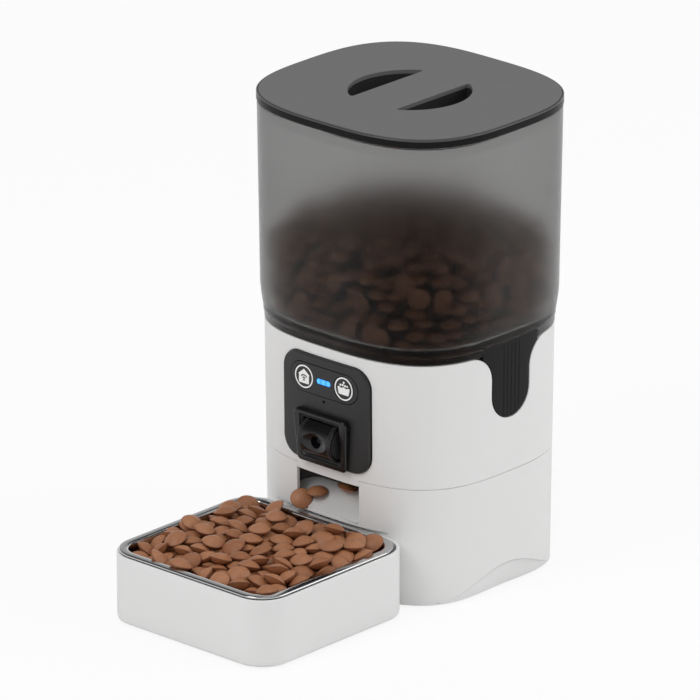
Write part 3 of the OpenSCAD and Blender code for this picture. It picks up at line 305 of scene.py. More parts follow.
def skin(loops, surface, wall, step, lines=(), seams=(), leave=None, rows=4):
    """A plate over a curved surface, with the rims of its outline and holes rounded.
    A loop is (points, rim radius), with the material on its left."""
    edges, insets, radii = [], [], []
    for points, radius in loops:
        edge = np.asarray(points, float)
        r = np.broadcast_to(np.asarray(radius, float), len(edge)).copy()
        shift = leftward(edge) * r[:, None]
        for s in seams:
            shift[np.abs(edge[:, 0] - s) < TINY, 0] = 0
        edges.append(edge)
        insets.append(edge + shift)
        radii.append(r)
    flat, chain = [], []
    for loop in insets:
        start = len(flat)
        flat += loop.tolist()
        chain += [(start + k, start + (k + 1) % len(loop)) for k in range(len(loop))]
    for line in lines:
        start = len(flat)
        flat += np.asarray(line).tolist()
        chain += [(start + k, start + k + 1) for k in range(len(line) - 1)]
    border = np.array(flat)
    low, high = border.min(0), border.max(0)
    gu, gv = np.meshgrid(np.arange(low[0] + step[0] / 2, high[0], step[0]),
                         np.arange(low[1] + step[1] / 2, high[1], step[1]))
    grid = np.c_[gu.ravel(), gv.ravel()]
    grid = grid[inside(grid, insets)]
    if leave is not None:
        grid = grid[~leave(grid)]
    if len(grid):
        near = [np.min(np.sum(((border - g) / np.array(step)) ** 2, axis=1)) for g in grid]
        grid = grid[np.array(near) > GRID_CLEAR]
    flat += grid.tolist()
    found = delaunay_2d_cdt([Vector(p) for p in flat], chain, [], 0, TINY)
    uv = np.array([tuple(p) for p in found[0]])
    place = {o: k for k, group in enumerate(found[3]) for o in group}
    tris = np.array([f for f in found[2] if len(f) == 3])
    a, b, c = uv[tris[:, 0]], uv[tris[:, 1]], uv[tris[:, 2]]
    (bx, by), (cx, cy) = (b - a).T, (c - a).T
    area = bx * cy - by * cx
    tris[area < 0] = tris[area < 0][:, ::-1]
    tris = tris[inside((a + b + c) / 3, insets) & (np.abs(area) > NIL)]
    depth = wall if callable(wall) else lambda q: np.full(len(q), float(wall))
    n = slopes(surface, uv)
    front = surface(uv)
    count = len(uv)
    points = [front, front - n * depth(uv)[:, None]]
    normals = [n, -n]
    faces = [tuple(t) for t in tris] + [tuple(t[::-1] + count) for t in tris]
    total = 2 * count
    start = 0
    for edge, inset, r in zip(edges, insets, radii):
        size = len(edge)
        ids = np.array([place[start + k] for k in range(size)])
        start += size
        thick = depth(edge)
        r_in = np.minimum(r, thick / 2)
        out = surface(edge) - surface(inset)
        short = np.linalg.norm(edge - inset, axis=1) < TINY
        out[short] = (surface(edge - leftward(edge) * 0.01) - surface(edge))[short]
        out = unit(out)
        layers = [ids]
        for k in [*range(1, rows + 1), *range(-rows, 0)]:
            phi = abs(k) / rows * math.pi / 2
            q = inset + (edge - inset) * math.sin(phi)
            m = slopes(surface, q)
            drop = r_in * (1 - math.cos(phi))
            drop = drop if k > 0 else thick - drop
            points.append(surface(q) - m * drop[:, None])
            normals.append(unit(m * math.cos(phi) * (1 if k > 0 else -1) + out * math.sin(phi)))
            layers.append(np.arange(size) + total)
            total += size
        layers.append(ids + count)
        seam = np.zeros(size, bool)
        for s in seams:
            on = np.abs(edge[:, 0] - s) < TINY
            seam |= on & np.roll(on, -1)
        for upper, lower in zip(layers, layers[1:]):
            for k in range(size):
                j = (k + 1) % size
                if not seam[k]:
                    faces.append((upper[j], upper[k], lower[k], lower[j]))
    return weld(np.vstack(points), faces, np.vstack(normals))


def loft(rings, caps=True, closed=False):
    """Points and faces through rings of equal length."""
    count = len(rings[0])
    points = np.vstack(rings)
    faces = []
    spans = len(rings) if closed else len(rings) - 1
    for k in range(spans):
        here, there = k * count, (k + 1) % len(rings) * count
        for i in range(count):
            j = (i + 1) % count
            faces.append((here + i, here + j, there + j, there + i))
    if caps and not closed:
        faces.append(tuple(range(count))[::-1])
        faces.append(tuple(range(len(points) - count, len(points))))
    return points, faces


def lathe(profile, count, centre, axis):
    """A turned piece: profile points are (radius, distance along the axis)."""
    t = np.linspace(0, TURN, count, endpoint=False)
    rings = []
    for r, h in profile:
        a, b, along = r * np.cos(t), r * np.sin(t), np.full(count, h)
        rings.append(np.c_[(along, a, b) if axis == "x" else (a, along, -b)] + np.array(centre))
    return loft(rings)


CORNER = 20
STRAIGHT = 14


def tray_ring(inset, z, y0=TRAY_Y0, y1=TRAY_Y1, half=TRAY_HALF, r=TRAY_R):
    r = max(r - inset, 1.0)
    path = rounded(2 * (half - inset), y1 - y0 - 2 * inset, r, 0, (y0 + y1) / 2, CORNER)
    made = []
    for k, (ax, ay) in enumerate(path):
        bx, by = path[(k + 1) % len(path)]
        many = STRAIGHT if k % (CORNER + 1) == CORNER else 1
        made += [(ax + (bx - ax) * i / many, ay + (by - ay) * i / many, z) for i in range(many)]
    return np.array(made)


# Materials
def wire(tree, n, inputs):
    """Gives a shader node its inputs: constants, or outputs of other nodes."""
    for key, value in inputs.items():
        if isinstance(value, bpy.types.NodeSocket):
            tree.links.new(value, n.inputs[key])
        else:
            n.inputs[key].default_value = value
    return n


def add(tree, kind, inputs, **settings):
    n = tree.nodes.new("ShaderNode" + kind)
    for key, value in settings.items():
        setattr(n, key, value)
    return wire(tree, n, inputs)


def where_on(tree, space="Object"):
    return tree.nodes.new("ShaderNodeTexCoord").outputs[space]


def nodes_of(name):
    m = bpy.data.materials.new(name)
    m.use_nodes = True
    tree = m.node_tree
    return m, tree, tree.nodes["Principled BSDF"]


def noise(tree, scale, detail=3.0, rough=0.55, stretch=None):
    where = where_on(tree)
    if stretch:
        where = add(tree, "Mapping", {"Scale": stretch, "Vector": where}).outputs["Vector"]
    inputs = {"Scale": scale, "Detail": detail, "Roughness": rough, "Vector": where}
    return add(tree, "TexNoise", inputs).outputs[0]


def spread(tree, value, low, high, first=0.3, last=0.7):
    inputs = {"From Min": first, "From Max": last, "To Min": low, "To Max": high, "Value": value}
    return add(tree, "MapRange", inputs).outputs["Result"]


def blend(tree, share, first, second, how="MIX"):
    return add(tree, "Mix", {0: share, 6: first, 7: second}, data_type="RGBA", blend_type=how).outputs[2]


def tint(tree, value, dark, light):
    return blend(tree, value, (*dark, 1), (*light, 1))


def bump(tree, height, strength, distance):
    inputs = {"Strength": strength, "Distance": distance, "Height": height}
    return add(tree, "Bump", inputs).outputs["Normal"]


def flag(tree, *names):
    """1 for the kinds of ray that are named, and 0 for others."""
    path = tree.nodes.new("ShaderNodeLightPath")
    value = path.outputs[names[0]]
    for n in names[1:]:
        value = add(tree, "Math", {0: value, 1: path.outputs[n]}, operation="MAXIMUM").outputs[0]
    return value


def either(tree, share, first, second):
    return add(tree, "MixShader", {0: share, 1: first, 2: second}).outputs[0]


def shades(colour, vary):
    return [tuple(min(1, c * s) for c in colour) for s in (1 - vary, 1 + vary)]


BLOTCH = 22
SMOKE_BLOTCH = 16
PLASTIC_GRAIN = 0.00006
SMOKE_GRAIN = 0.00005
METAL_GRAIN = 0.00004


def plastic(name, colour, rough, vary=0.04, grain=1400, relief=0.12, gloss=0.5):
    """Moulded plastic: a fine grain, and a slight unevenness in tone and gloss."""
    m, tree, p = nodes_of(name)
    wide = noise(tree, BLOTCH)
    fine = noise(tree, grain, 2.0)
    wire(tree, p, {"Base Color": tint(tree, wide, *shades(colour, vary)),
                   "Roughness": spread(tree, wide, rough * 0.9, rough * 1.1),
                   "Normal": bump(tree, fine, relief, PLASTIC_GRAIN), "Specular IOR Level": gloss})
    return m


def metal(name, colour, rough, stretch, relief=0.06, grain=260):
    """Polished or turned metal with fine drawn lines."""
    m, tree, p = nodes_of(name)
    lines = noise(tree, grain, 4.0, 0.6, stretch)
    dark = tuple(c * 0.93 for c in colour)
    wire(tree, p, {"Metallic": 1.0, "Base Color": tint(tree, lines, dark, colour),
                   "Roughness": spread(tree, lines, rough * 0.75, rough * 1.25),
                   "Normal": bump(tree, lines, relief, METAL_GRAIN)})
    return m


def smoke(name, colour, rough_low, rough_high, shade, ior, sheen=0.0):
    """Smoky plastic: the face that has the colour tints what is seen through it."""
    m, tree, p = nodes_of(name)
    wide = noise(tree, SMOKE_BLOTCH)
    fine = noise(tree, 1300, 2.0)
    wire(tree, p, {"Transmission Weight": 1.0, "IOR": ior, "Specular Tint": (0.15, 0.15, 0.15, 1),
                   "Coat Weight": sheen, "Coat IOR": 1.12, "Coat Roughness": 0.22,
                   "Base Color": tint(tree, wide, *shades(colour, 0.03)),
                   "Roughness": spread(tree, wide, rough_low, rough_high),
                   "Normal": bump(tree, fine, 0.03, SMOKE_GRAIN)})
    clear = add(tree, "BsdfTransparent", {"Color": (*shade, 1)}).outputs[0]
    mixed = either(tree, flag(tree, "Is Shadow Ray", "Is Diffuse Ray"), p.outputs[0], clear)
    wire(tree, tree.nodes["Material Output"], {0: mixed})
    return m


def kibble_brown():
    """Baked food: brown and matt, with painted shade darkening the thin edge of each piece."""
    m, tree, p = nodes_of("kibble")
    each, edge = [add(tree, "Attribute", {}, attribute_name=word).outputs["Fac"]
                  for word in ("shade", "painted_rim_shade")]
    grain = noise(tree, 420, 5.0, 0.6)
    base = tint(tree, each, (0.335, 0.133, 0.056), (0.455, 0.200, 0.095))
    mottle = tint(tree, grain, (0.80, 0.78, 0.76), (1.12, 1.14, 1.16))
    brown = blend(tree, 1.0, base, mottle, "MULTIPLY")
    # The darker brown at each piece's edge is painted shade
    wire(tree, p, {"Base Color": blend(tree, edge, brown, (0.180, 0.060, 0.026, 1)),
                   "Roughness": spread(tree, grain, 0.40, 0.55),
                   "Normal": bump(tree, grain, 0.18, 0.0003), "Specular IOR Level": 0.5})
    return m


SPOT_GAP = 0.0042


def glow():
    """Status light: blue, with three brighter spots in a row behind a diffuser."""
    m, tree, p = nodes_of("status_glow")
    along = add(tree, "SeparateXYZ", {0: where_on(tree)}).outputs["X"]
    wave = add(tree, "Math", {0: along, 1: TURN / SPOT_GAP}, operation="MULTIPLY").outputs[0]
    cosine = add(tree, "Math", {0: wave}, operation="COSINE").outputs[0]
    spots = spread(tree, cosine, 0.0, 1.0, -1.0, 1.0)
    colour = tint(tree, spots, (0.030, 0.28, 0.93), (0.065, 0.40, 1.0))
    wire(tree, p, {"Emission Color": colour, "Base Color": colour, "Roughness": 0.3,
                   "Emission Strength": spread(tree, spots, 0.7, 0.95, 0.0, 1.0)})
    return m


def board():
    """Circuit board: green solder mask with paler copper lines under it."""
    m, tree, p = nodes_of("circuit_board")
    lines = add(tree, "TexBrick", {"Scale": 260.0, "Mortar Size": 0.06, "Vector": where_on(tree),
                                   "Mortar": (0.05, 0.20, 0.08, 1), "Color1": (0.012, 0.085, 0.035, 1),
                                   "Color2": (0.014, 0.10, 0.040, 1)})
    wire(tree, p, {"Base Color": lines.outputs["Color"],
                   "Roughness": spread(tree, noise(tree, 300), 0.3, 0.42)})
    return m


def lens_glass():
    """Dark coated lens."""
    m, tree, p = nodes_of("lens_glass")
    wire(tree, p, {"Base Color": tint(tree, noise(tree, 60), (0.004, 0.004, 0.007), (0.006, 0.006, 0.011)),
                   "Roughness": spread(tree, noise(tree, 500), 0.04, 0.07), "Specular IOR Level": 0.14})
    return m


white = plastic("white_plastic", (0.80, 0.80, 0.795), 0.46, 0.008, 1700, 0.05, 0.42)
chute_white = plastic("chute_white", (0.68, 0.68, 0.675), 0.46, 0.012, 1700, 0.06, 0.42)
grey_inner = plastic("grey_plastic", (0.50, 0.50, 0.50), 0.5, 0.03, 1500, 0.1)
lid_grey = plastic("lid_matte", (0.150, 0.150, 0.150), 0.62, 0.03, 2100, 0.25, 0.3)
# Dark grey band on the rim's rounded top edge, lighter than the rim: a painted highlight.
edge_painted_highlight = plastic("edge_painted_highlight", (0.055, 0.055, 0.055), 0.25, 0.04, 1800, 0.04, 0.5)
rim_black = plastic("rim_black", (0.005, 0.005, 0.0052), 0.25, 0.06, 1800, 0.04, 0.12)
# Finger pockets nearly black, darker than the lid plate: painted shade in the recesses.
pocket_painted_shade = plastic("pocket_painted_shade", (0.030, 0.030, 0.0303), 0.38, 0.10, 900, 0.2, 0.35)
panel_black = plastic("panel_black", (0.026, 0.026, 0.0265), 0.42, 0.06, 1900, 0.16, 0.34)
deck_black = plastic("deck_black", (0.023, 0.023, 0.0235), 0.36, 0.05, 1900, 0.08, 0.36)
# Black lifted to dark grey for the window's bevel and the barrel's end caps: painted light on faces that lie
# in the hood's shade.
painted_light_black = plastic("hood_bevel_painted_light", (0.048, 0.048, 0.049), 0.28, 0.06, 1500, 0.05, 0.5)
gloss_black = plastic("gloss_black", (0.006, 0.006, 0.0062), 0.24, 0.08, 1500, 0.04, 0.46)
latch_black = plastic("latch_black", (0.008, 0.008, 0.0082), 0.34, 0.06, 1700, 0.08, 0.14)
chute_dark = plastic("chute_dark", (0.045, 0.045, 0.046), 0.5, 0.06, 1500, 0.12)
rubber = plastic("rubber_black", (0.022, 0.022, 0.022), 0.72, 0.12, 900, 0.35, 0.25)
seal_grey = plastic("seal_grey", (0.42, 0.42, 0.41), 0.6, 0.05, 700, 0.2, 0.3)
nylon = plastic("gear_nylon", (0.72, 0.70, 0.64), 0.45, 0.03, 1200, 0.1)
cap_white = plastic("print_white", (0.95, 0.95, 0.95), 0.4, 0.01, 1500, 0.05, 0.4)
# Near-black brown of the hopper's hidden food mound: painted shade for the food deep in the load.
food_shadow = plastic("food_painted_shade", (0.020, 0.011, 0.007), 0.8, 0.3, 260, 0.5, 0.1)
steel = metal("steel", (0.62, 0.62, 0.63), 0.3, (1, 1, 14))
bowl_steel = metal("bowl_steel", (0.64, 0.64, 0.645), 0.13, (1, 1, 0.25), 0.03, 420)
brass = metal("brass", (0.70, 0.50, 0.22), 0.3, (1, 1, 12))
smoky = smoke("smoky_frosted", (0.282, 0.280, 0.278), 0.38, 0.42, (0.148, 0.144, 0.141), 1.36, 1.0)
smoky_inner = smoke("smoky_smooth", (0.92, 0.92, 0.92), 0.04, 0.07, (0.92, 0.92, 0.92), 1.36)
clear_soft = smoke("clear_silicone", (0.95, 0.95, 0.95), 0.08, 0.12, (0.96, 0.96, 0.96), 1.03)
kibble = kibble_brown()
light_blue = glow()
circuit = board()
lens_dark = lens_glass()

# Lid: a matt plate with two finger pockets, in a dark rim
LID_Z0 = 310.1
LID_Z1 = 316.2
PLATE = 3.0
PLATE_Z = LID_Z1 - PLATE
EDGE_Z = LID_Z1 - 1.75
EDGE_A = LID_A - 0.02
CUT_A = LID_A - 0.12
INNER_A = LID_A - 1.0
PLUG_A = 86.2
PLUG_IN_A = PLUG_A - 2.6
PLUG_Z = LID_Z0 - 8.0
PLUG_BEVEL = 0.6
GRIP_R = 39.5
GRIP_TIP = 1.6
BAR_HALF = 18.7
POCKET_Z = LID_Z1 - 13.0
POCKET_WALL = 2.0
LID_RING = 400


def pocket(side, grow):
    """Outline of a finger pocket: what the grip's bar leaves of a circle."""
    r, bar, tip = GRIP_R + grow, BAR_HALF - grow, GRIP_TIP + grow
    reach_y = math.sqrt((r - tip) ** 2 - (bar + tip) ** 2)
    t = math.degrees(math.atan2(reach_y, bar + tip))
    points = (arc(0, 0, r, -t, t, 60) + arc(bar + tip, reach_y, tip, t, 180, 10)
              + arc(bar + tip, -reach_y, tip, 180, 360 - t, 10))
    return np.array(points) * side


def lid_band(name, profile, material, slot):
    rings = [ring(a, z, count=LID_RING) for a, z in profile]
    make(name, loft(rings, closed=True), "lid", material, slot, "lid_shell")


plate_loops = [(ring(LID_A - 1.25, 0, count=LID_RING)[:, :2], 0.4)]
plate_loops += [(pocket(side, 0)[::-1], 0.35) for side, _ in SIDES]
lid_plate = skin(plate_loops, lambda uv: at(uv, LID_Z1), PLATE, (9, 9))
make("lid_plate", lid_plate, "lid", lid_grey, "lid_grey", "lid_shell")
profile = [(PLUG_A, LID_Z0), (LID_A - 0.6, LID_Z0), *arc(LID_A - 0.4, LID_Z0 + 0.4, 0.4, -90, 0, 5),
           (EDGE_A, EDGE_Z - 0.06), (CUT_A, EDGE_Z), (INNER_A, EDGE_Z), (INNER_A, PLATE_Z), (PLUG_A, PLATE_Z)]
lid_band("lid_rim", profile, rim_black, "lid_grey")
# The rim's rounded top edge, in the lighter grey of the painted highlight
profile = [(INNER_A, EDGE_Z + 0.01), (CUT_A, EDGE_Z + 0.01), (EDGE_A, EDGE_Z + 0.08),
           *arc(LID_A - 0.6, LID_Z1 - 1.1, 0.6, 0, 90, 5),
           (LID_A - 0.9, LID_Z1 - 0.55), (INNER_A, LID_Z1 - 1.1)]
lid_band("lid_edge", profile, edge_painted_highlight, "lid_grey")
profile = [(PLUG_IN_A, PLATE_Z), (PLUG_IN_A, PLUG_Z + PLUG_BEVEL), (PLUG_IN_A + PLUG_BEVEL, PLUG_Z),
           (PLUG_A - PLUG_BEVEL, PLUG_Z), (PLUG_A, PLUG_Z + PLUG_BEVEL), (PLUG_A, PLATE_Z)]
lid_band("lid_plug", profile, clear_soft, "smoke")
for side, word in SIDES:
    inner = pocket(side, 0)
    outer = pocket(side, POCKET_WALL)
    inward = leftward(inner)
    well = [(inner + inward * 1.2, POCKET_Z), (inner + inward * 0.35, POCKET_Z + 0.35),
            (inner, POCKET_Z + 1.2), (inner, PLATE_Z), (outer, PLATE_Z), (outer, POCKET_Z - POCKET_WALL)]
    rings = [at(p, z) for p, z in well]
    # Pocket walls in the near black of the painted shade
    make("grip_pocket_" + word, loft(rings), "lid", pocket_painted_shade, "lid_grey", "lid_shell")

# Hopper: smoky moulding with a lip, a belly, straight walls, and a funnel down to the neck
LIP_A = 85.5
BELLY_A = 88.0
TOP_A = 89.6
HOPPER_Z0 = 163.9
HOPPER_Z1 = 309.7
BELLY_Z = 188.5
BIN_WALL = 2.2
LIP_IN_A = LIP_A - BIN_WALL
NECK_R = 45.0
NECK_OUT_R = NECK_R + 2.3
NECK_Z0 = 122.0
NECK_Z1 = 135.0
NECK_EDGE = 0.6
FUNNEL_Z = 174.0
FUNNEL_A = LIP_IN_A + 0.1
UNDER_A = LIP_IN_A - 0.6
SKIN = 2.6
ROUND = 480
TAB_SIDE_X = 60
belly = [(0.11, 0.26), (0.22, 0.36), (0.36, 0.53), (0.5, 0.68), (0.65, 0.81), (0.8, 0.92), (0.9, 0.97)]
belly = [(LIP_A + s * (BELLY_A - LIP_A), LIP_TOP + k * (BELLY_Z - LIP_TOP)) for k, s in belly]
belly += [(BELLY_A, BELLY_Z), (BELLY_A + 0.55, 230.0), (BELLY_A + 1.1, 270.0)]
bin_outer = [(LIP_A - 0.5, HOPPER_Z0), (LIP_A, HOPPER_Z0 + 0.5), (LIP_A + 0.15, LIP_TOP - 0.9),
             (LIP_A + 0.55, LIP_TOP - 0.3), *belly, (TOP_A, HOPPER_Z1 - 0.5)]
bin_inner = [(TOP_A - 0.4, HOPPER_Z1), (TOP_A - BIN_WALL + 0.4, HOPPER_Z1),
             (TOP_A - BIN_WALL, HOPPER_Z1 - 0.5)]
bin_inner += [(a - BIN_WALL, z) for a, z in belly[::-1] if z > FUNNEL_Z + 1]


def bin_ring(a, z):
    """A ring of the hopper, raised over the release tabs' heads."""
    r = ring(a, z, count=ROUND)
    over_tab = (np.abs(r[:, 0]) > TAB_SIDE_X) & (np.abs(r[:, 1] - LATCH_Y) < LATCH_HEAD / 2 + 0.5)
    r[over_tab, 2] = np.maximum(r[over_tab, 2], LIP_TOP - 0.1)
    return r


def neck_ring(r, z):
    return ring(r, z, 2, 1, ROUND)


rings = [bin_ring(a, z) for a, z in bin_outer + bin_inner]
funnel_slope = (FUNNEL_Z - NECK_Z1) / (FUNNEL_A - NECK_R)
neck_in = neck_ring(NECK_R, NECK_Z1)
rim_in = ring(FUNNEL_A, FUNNEL_Z, count=ROUND)
rings += [rim_in * (1 - s) + neck_in * s for s in (0, 0.3, 0.6, 0.85)]
rings += [neck_ring(NECK_R, z) for z in (NECK_Z1 - 1, NECK_Z0 + NECK_EDGE)]
rings += [neck_ring(r, NECK_Z0) for r in (NECK_R + NECK_EDGE, NECK_OUT_R - NECK_EDGE)]
neck_out = neck_ring(NECK_OUT_R, NECK_Z1 - 1.0)
neck_row = len(rings)
rings += [neck_ring(NECK_OUT_R, NECK_Z0 + NECK_EDGE), neck_out]
under_z = NECK_Z1 + (UNDER_A - NECK_R) * funnel_slope - SKIN * math.hypot(1, funnel_slope)
under = ring(UNDER_A, under_z, count=ROUND)
rings += [neck_out * (1 - s) + under * s for s in (0.3, 0.6, 1)]
rings += [bin_ring(LIP_IN_A, z) for z in (LIP_TOP + 0.4, HOPPER_Z0 + 0.5)]
rings.append(bin_ring(LIP_IN_A + 0.5, HOPPER_Z0))
hopper = make("hopper_wall", loft(rings, closed=True), "hopper", smoky, "smoke", "hopper_bin", crease=30).data
hopper.materials.append(smoky_inner)
tinted = [*range(len(bin_outer)), *range(neck_row, neck_row + 3)]
clear_faces = [int(k // ROUND not in tinted) for k in range(len(hopper.polygons))]
hopper.polygons.foreach_set("material_index", clear_faces)
HINGE_X = 79.456
HINGE_Z = 159.0
LUG_R = 2.8
lug = np.array(arc(0, HINGE_Z, LUG_R, 180, 360, 16) + [(LUG_R, 168.6), (-LUG_R, 163.4)])
for side, word in SIDES:
    for k, along in enumerate((-1, 1)):
        y = LATCH_Y + along * LATCH_HEAD / 4
        rings = []
        for w, bevel in ((-1.5, 0.3), (-1.2, 0.0), (1.2, 0.0), (1.5, 0.3)):
            rings.append(upright(lug + leftward(lug) * bevel + (side * HINGE_X, 0), y + w))
        make(f"hinge_lug_{word}_{k}", loft(rings), "hopper", latch_black, "black", "hopper_bin")

# Base, upper shell: panel opening, tab notches and the tongue over the outlet
TONGUE_HALF = OUTLET_HALF - 0.1
SEAM_R = 0.3
EDGE_R = 0.8
NOTCH_R = 0.6
OPENING_R = 0.5
EVEN = 0.01


def notch_points(side):
    w, f = LATCH_W / 2, LATCH_FILLET
    path = (arc(LATCH_Y + w + f, BASE_H - f, f, 90, 180, 20)
            + arc(LATCH_Y, BASE_H - LATCH_DROP + w, w, 0, -180, 36)
            + arc(LATCH_Y - w - f, BASE_H - f, f, 0, 90, 20))
    return side_uz(path if side > 0 else path[::-1], side)


tongue = front_uz(fillet(both([(-TONGUE_HALF, SPLIT_Z, 0), (-TONGUE_HALF, OUTLET_TOP, 0.5)])))
outline = np.vstack([[(U0, SPLIT_Z)], tongue, [(U1, SPLIT_Z), (U1, BASE_H)],
                     notch_points(1), notch_points(-1), [(U0, BASE_H)]])
outline = dense(outline, 2.2)
height = outline[:, 1]
rim = np.where(height > BASE_H - EVEN, EDGE_R, np.where(height < SPLIT_Z + EVEN, SEAM_R, NOTCH_R))
rim = np.where(height < SPLIT_Z - 0.3, OPENING_R, rim)
opening = dense(front_uz(rounded(PANEL_W + 0.3, PANEL_H + 0.3, PANEL_R + 0.15, 0, PANEL_Z)[::-1]), 2.0)
upper = skin([(outline, rim), (opening, 0.45)], wall_surface(), WALL, (3.2, 7), seams=(U0, U1))
make("upper_shell", upper, "base", white, "white", "base_upper_shell")

# Base, lower shell: outlet, tray dock, hand scoops and the power inlet's hole
DOCK_Y = -72.4
DOCK_BACK = DOCK_Y + WALL
DOCK_SIDE_Z = 24.0
SEAM_Z = SPLIT_Z - 0.25
SILL_Z = DOCK_TOP + DOCK_ROOF
INLET_Z = 18.0
INLET_R = 5.4
SCOOP_X = 40
dock_half = float(side_x(base_a(DOCK_SIDE_Z), DOCK_Y))
dock = front_uz(fillet(both([(-dock_half, FOOT, 0), (-dock_half, DOCK_TOP, 1.0)])))
outlet = front_uz(fillet(both([(OUTLET_HALF, SEAM_Z, 0), (OUTLET_HALF, SILL_Z, 1.2)])))
outline = np.vstack([[(U0, FOOT)], dock, [(U1, FOOT), (U1, SEAM_Z)], outlet, [(U0, SEAM_Z)]])
outline = dense(outline, 2.2)
rim = np.where(outline[:, 1] > SEAM_Z - EVEN, SEAM_R, OPENING_R)
inlet = np.array(arc(float(u_at(0.0, 1.0)), INLET_Z, INLET_R, 360, 0, 48)[:-1])
scoop_y = np.linspace(-SCOOP_W / 2 + 1.5, SCOOP_W / 2 - 1.5, 90)
creases = []
for side, _ in SIDES:
    for share in (1.06, 1.0, 0.998, 0.985, 0.95, 0.88, 0.76, 0.6, 0.42, 0.22):
        z = scoop_top(scoop_y) * share
        u = u_at(side * side_x(base_a(z), scoop_y), scoop_y)
        creases.append(np.c_[u, z][z > FOOT + 0.9])


def in_scoop(uz):
    p = wall_surface()(uz)
    return (uz[:, 1] < scoop_top(p[:, 1]) * 1.08 + 0.6) & (np.abs(p[:, 0]) > SCOOP_X)


lower = skin([(outline, rim), (inlet, 0.4)], wall_surface(scoops=True), WALL, (3.2, 6),
             lines=creases, seams=(U0, U1), leave=in_scoop)
make("lower_shell", lower, "base", white, "white", "base_lower_shell")
x = np.linspace(-dock_half, dock_half, 33)
mid_y = front_y(base_a(DOCK_TOP) - 1.2, x)
roof = np.r_[np.c_[x, np.minimum(mid_y, DOCK_Y)], [(dock_half, DOCK_BACK), (-dock_half, DOCK_BACK)]]
back = np.array(fillet([(-dock_half, DOCK_Y, 0), (dock_half, DOCK_Y, 0),
                        (dock_half, DOCK_BACK, 0.5), (-dock_half, DOCK_BACK, 0.5)]))
for name, plan, z0, z1 in (("dock_roof", roof, DOCK_TOP, SILL_Z), ("dock_back", back, FOOT, DOCK_TOP)):
    make(name, loft([at(plan, z0), at(plan, z1)]), "base", white, "white", "base_lower_shell")

# Chute: a hollow white apron that widens behind the wall, and a dark wall round its back
SLOPE = math.tan(math.radians(33))
APRON_HALF = OUTLET_HALF - 0.15
APRON_FLAT = 20
APRON_HOLLOW = 160
ROOM_HALF = 38.0
ROOM_Y = -57.5
ROOM_R = 17
ROOM_TOP = 89.0
LIP_Y = -77.68
JAMB_Y = -74.6
BEHIND_Y = -72.4


def apron_surface(xy):
    hollow = np.clip(np.abs(xy[:, 0]) - APRON_FLAT, 0, None) ** 2 / APRON_HOLLOW
    return np.c_[xy, LIP_Z + (xy[:, 1] - LIP_Y) * SLOPE + hollow]


corners = [(-APRON_HALF, LIP_Y, 1.5), (APRON_HALF, LIP_Y, 1.5), (APRON_HALF, JAMB_Y, 0),
           (ROOM_HALF, BEHIND_Y, 0), (ROOM_HALF, ROOM_Y, ROOM_R), (-ROOM_HALF, ROOM_Y, ROOM_R),
           (-ROOM_HALF, BEHIND_Y, 0), (-APRON_HALF, JAMB_Y, 0)]
apron = skin([(dense(fillet(corners, 14), 1.6), 0.6)], apron_surface, 2.0, (3, 3))
make("outlet_apron", apron, "base", chute_white, "white", "chute_apron")
corners = both([(ROOM_HALF, BEHIND_Y + 0.2, 0), (ROOM_HALF, ROOM_Y, ROOM_R)])
path = dense(fillet(corners, 18), 2.0, False)[:-1]
turn = leftward(path)
turn[0], turn[-1] = (-1, 0), (1, 0)
room = np.r_[path + turn * 0.05, (path - turn * 2.0)[::-1]]
chute = loft([at(room, LIP_Z + 1.0), at(room, ROOM_TOP)])
make("chute_wall", chute, "base", chute_dark, "dark_grey", "chute_tube")

# Front panel, button deck, buttons and status light
DECK_OUT = PANEL_OUT + 0.3
LIGHT_OUT = DECK_OUT - 0.05
BUTTON_HOLE_R = 8.4
MIC_R = 1.0


def on_front(w, h, r, z, steps, out, step, hole=True):
    """A rounded opening or plate on the front, as a loop of its wall's sheet."""
    path = rounded(w, h, r, 0, z, steps)
    return dense(front_uz(path[::-1] if hole else path, out), step)


panel_loops = [(on_front(PANEL_W, PANEL_H, PANEL_R, PANEL_Z, 20, PANEL_OUT, 2.0, False), 1.15),
               (on_front(DECK_W, DECK_H, DECK_H / 2 - 0.01, DECK_Z, 24, PANEL_OUT, 2.0), 0.3),
               (on_front(38.0, 31.0, 0.5, CAMERA_Z, 2, PANEL_OUT, 2.0), 0.1),
               (np.array(arc(0, MIC_Z, MIC_R, 360, 0, 24)[:-1]), 0.15)]
panel = skin(panel_loops, wall_surface(PANEL_OUT), PANEL_OUT + WALL + 1.5, (2.6, 2.6), rows=5)
make("panel_face", panel, "base", panel_black, "black", "front_panel")
deck_line = on_front(DECK_W - 0.5, DECK_H - 0.5, DECK_H / 2 - 0.26, DECK_Z, 24, DECK_OUT, 1.5, False)
deck_loops = [(deck_line, 0.45)]
for side, _ in SIDES:
    hole = arc(side * BUTTON_X, DECK_Z, BUTTON_HOLE_R, 360, 0, 72)[:-1]
    deck_loops.append((front_uz(hole, DECK_OUT), 0.2))
deck_loops.append((on_front(12.2, 3.8, 1.89, DECK_Z, 10, DECK_OUT, 1.5), 0.15))
deck = skin(deck_loops, wall_surface(DECK_OUT), 5.0, (2.2, 2.2))
make("deck_face", deck, "base", deck_black, "black_gloss", "button_deck")
light_line = on_front(11.9, 3.5, 1.74, DECK_Z, 12, LIGHT_OUT, 0.8, False)
light = skin([(light_line, 0.5)], wall_surface(LIGHT_OUT), 6.0, (1.0, 1.0))
make("status_lens", light, "base", light_blue, "light", "status_light")

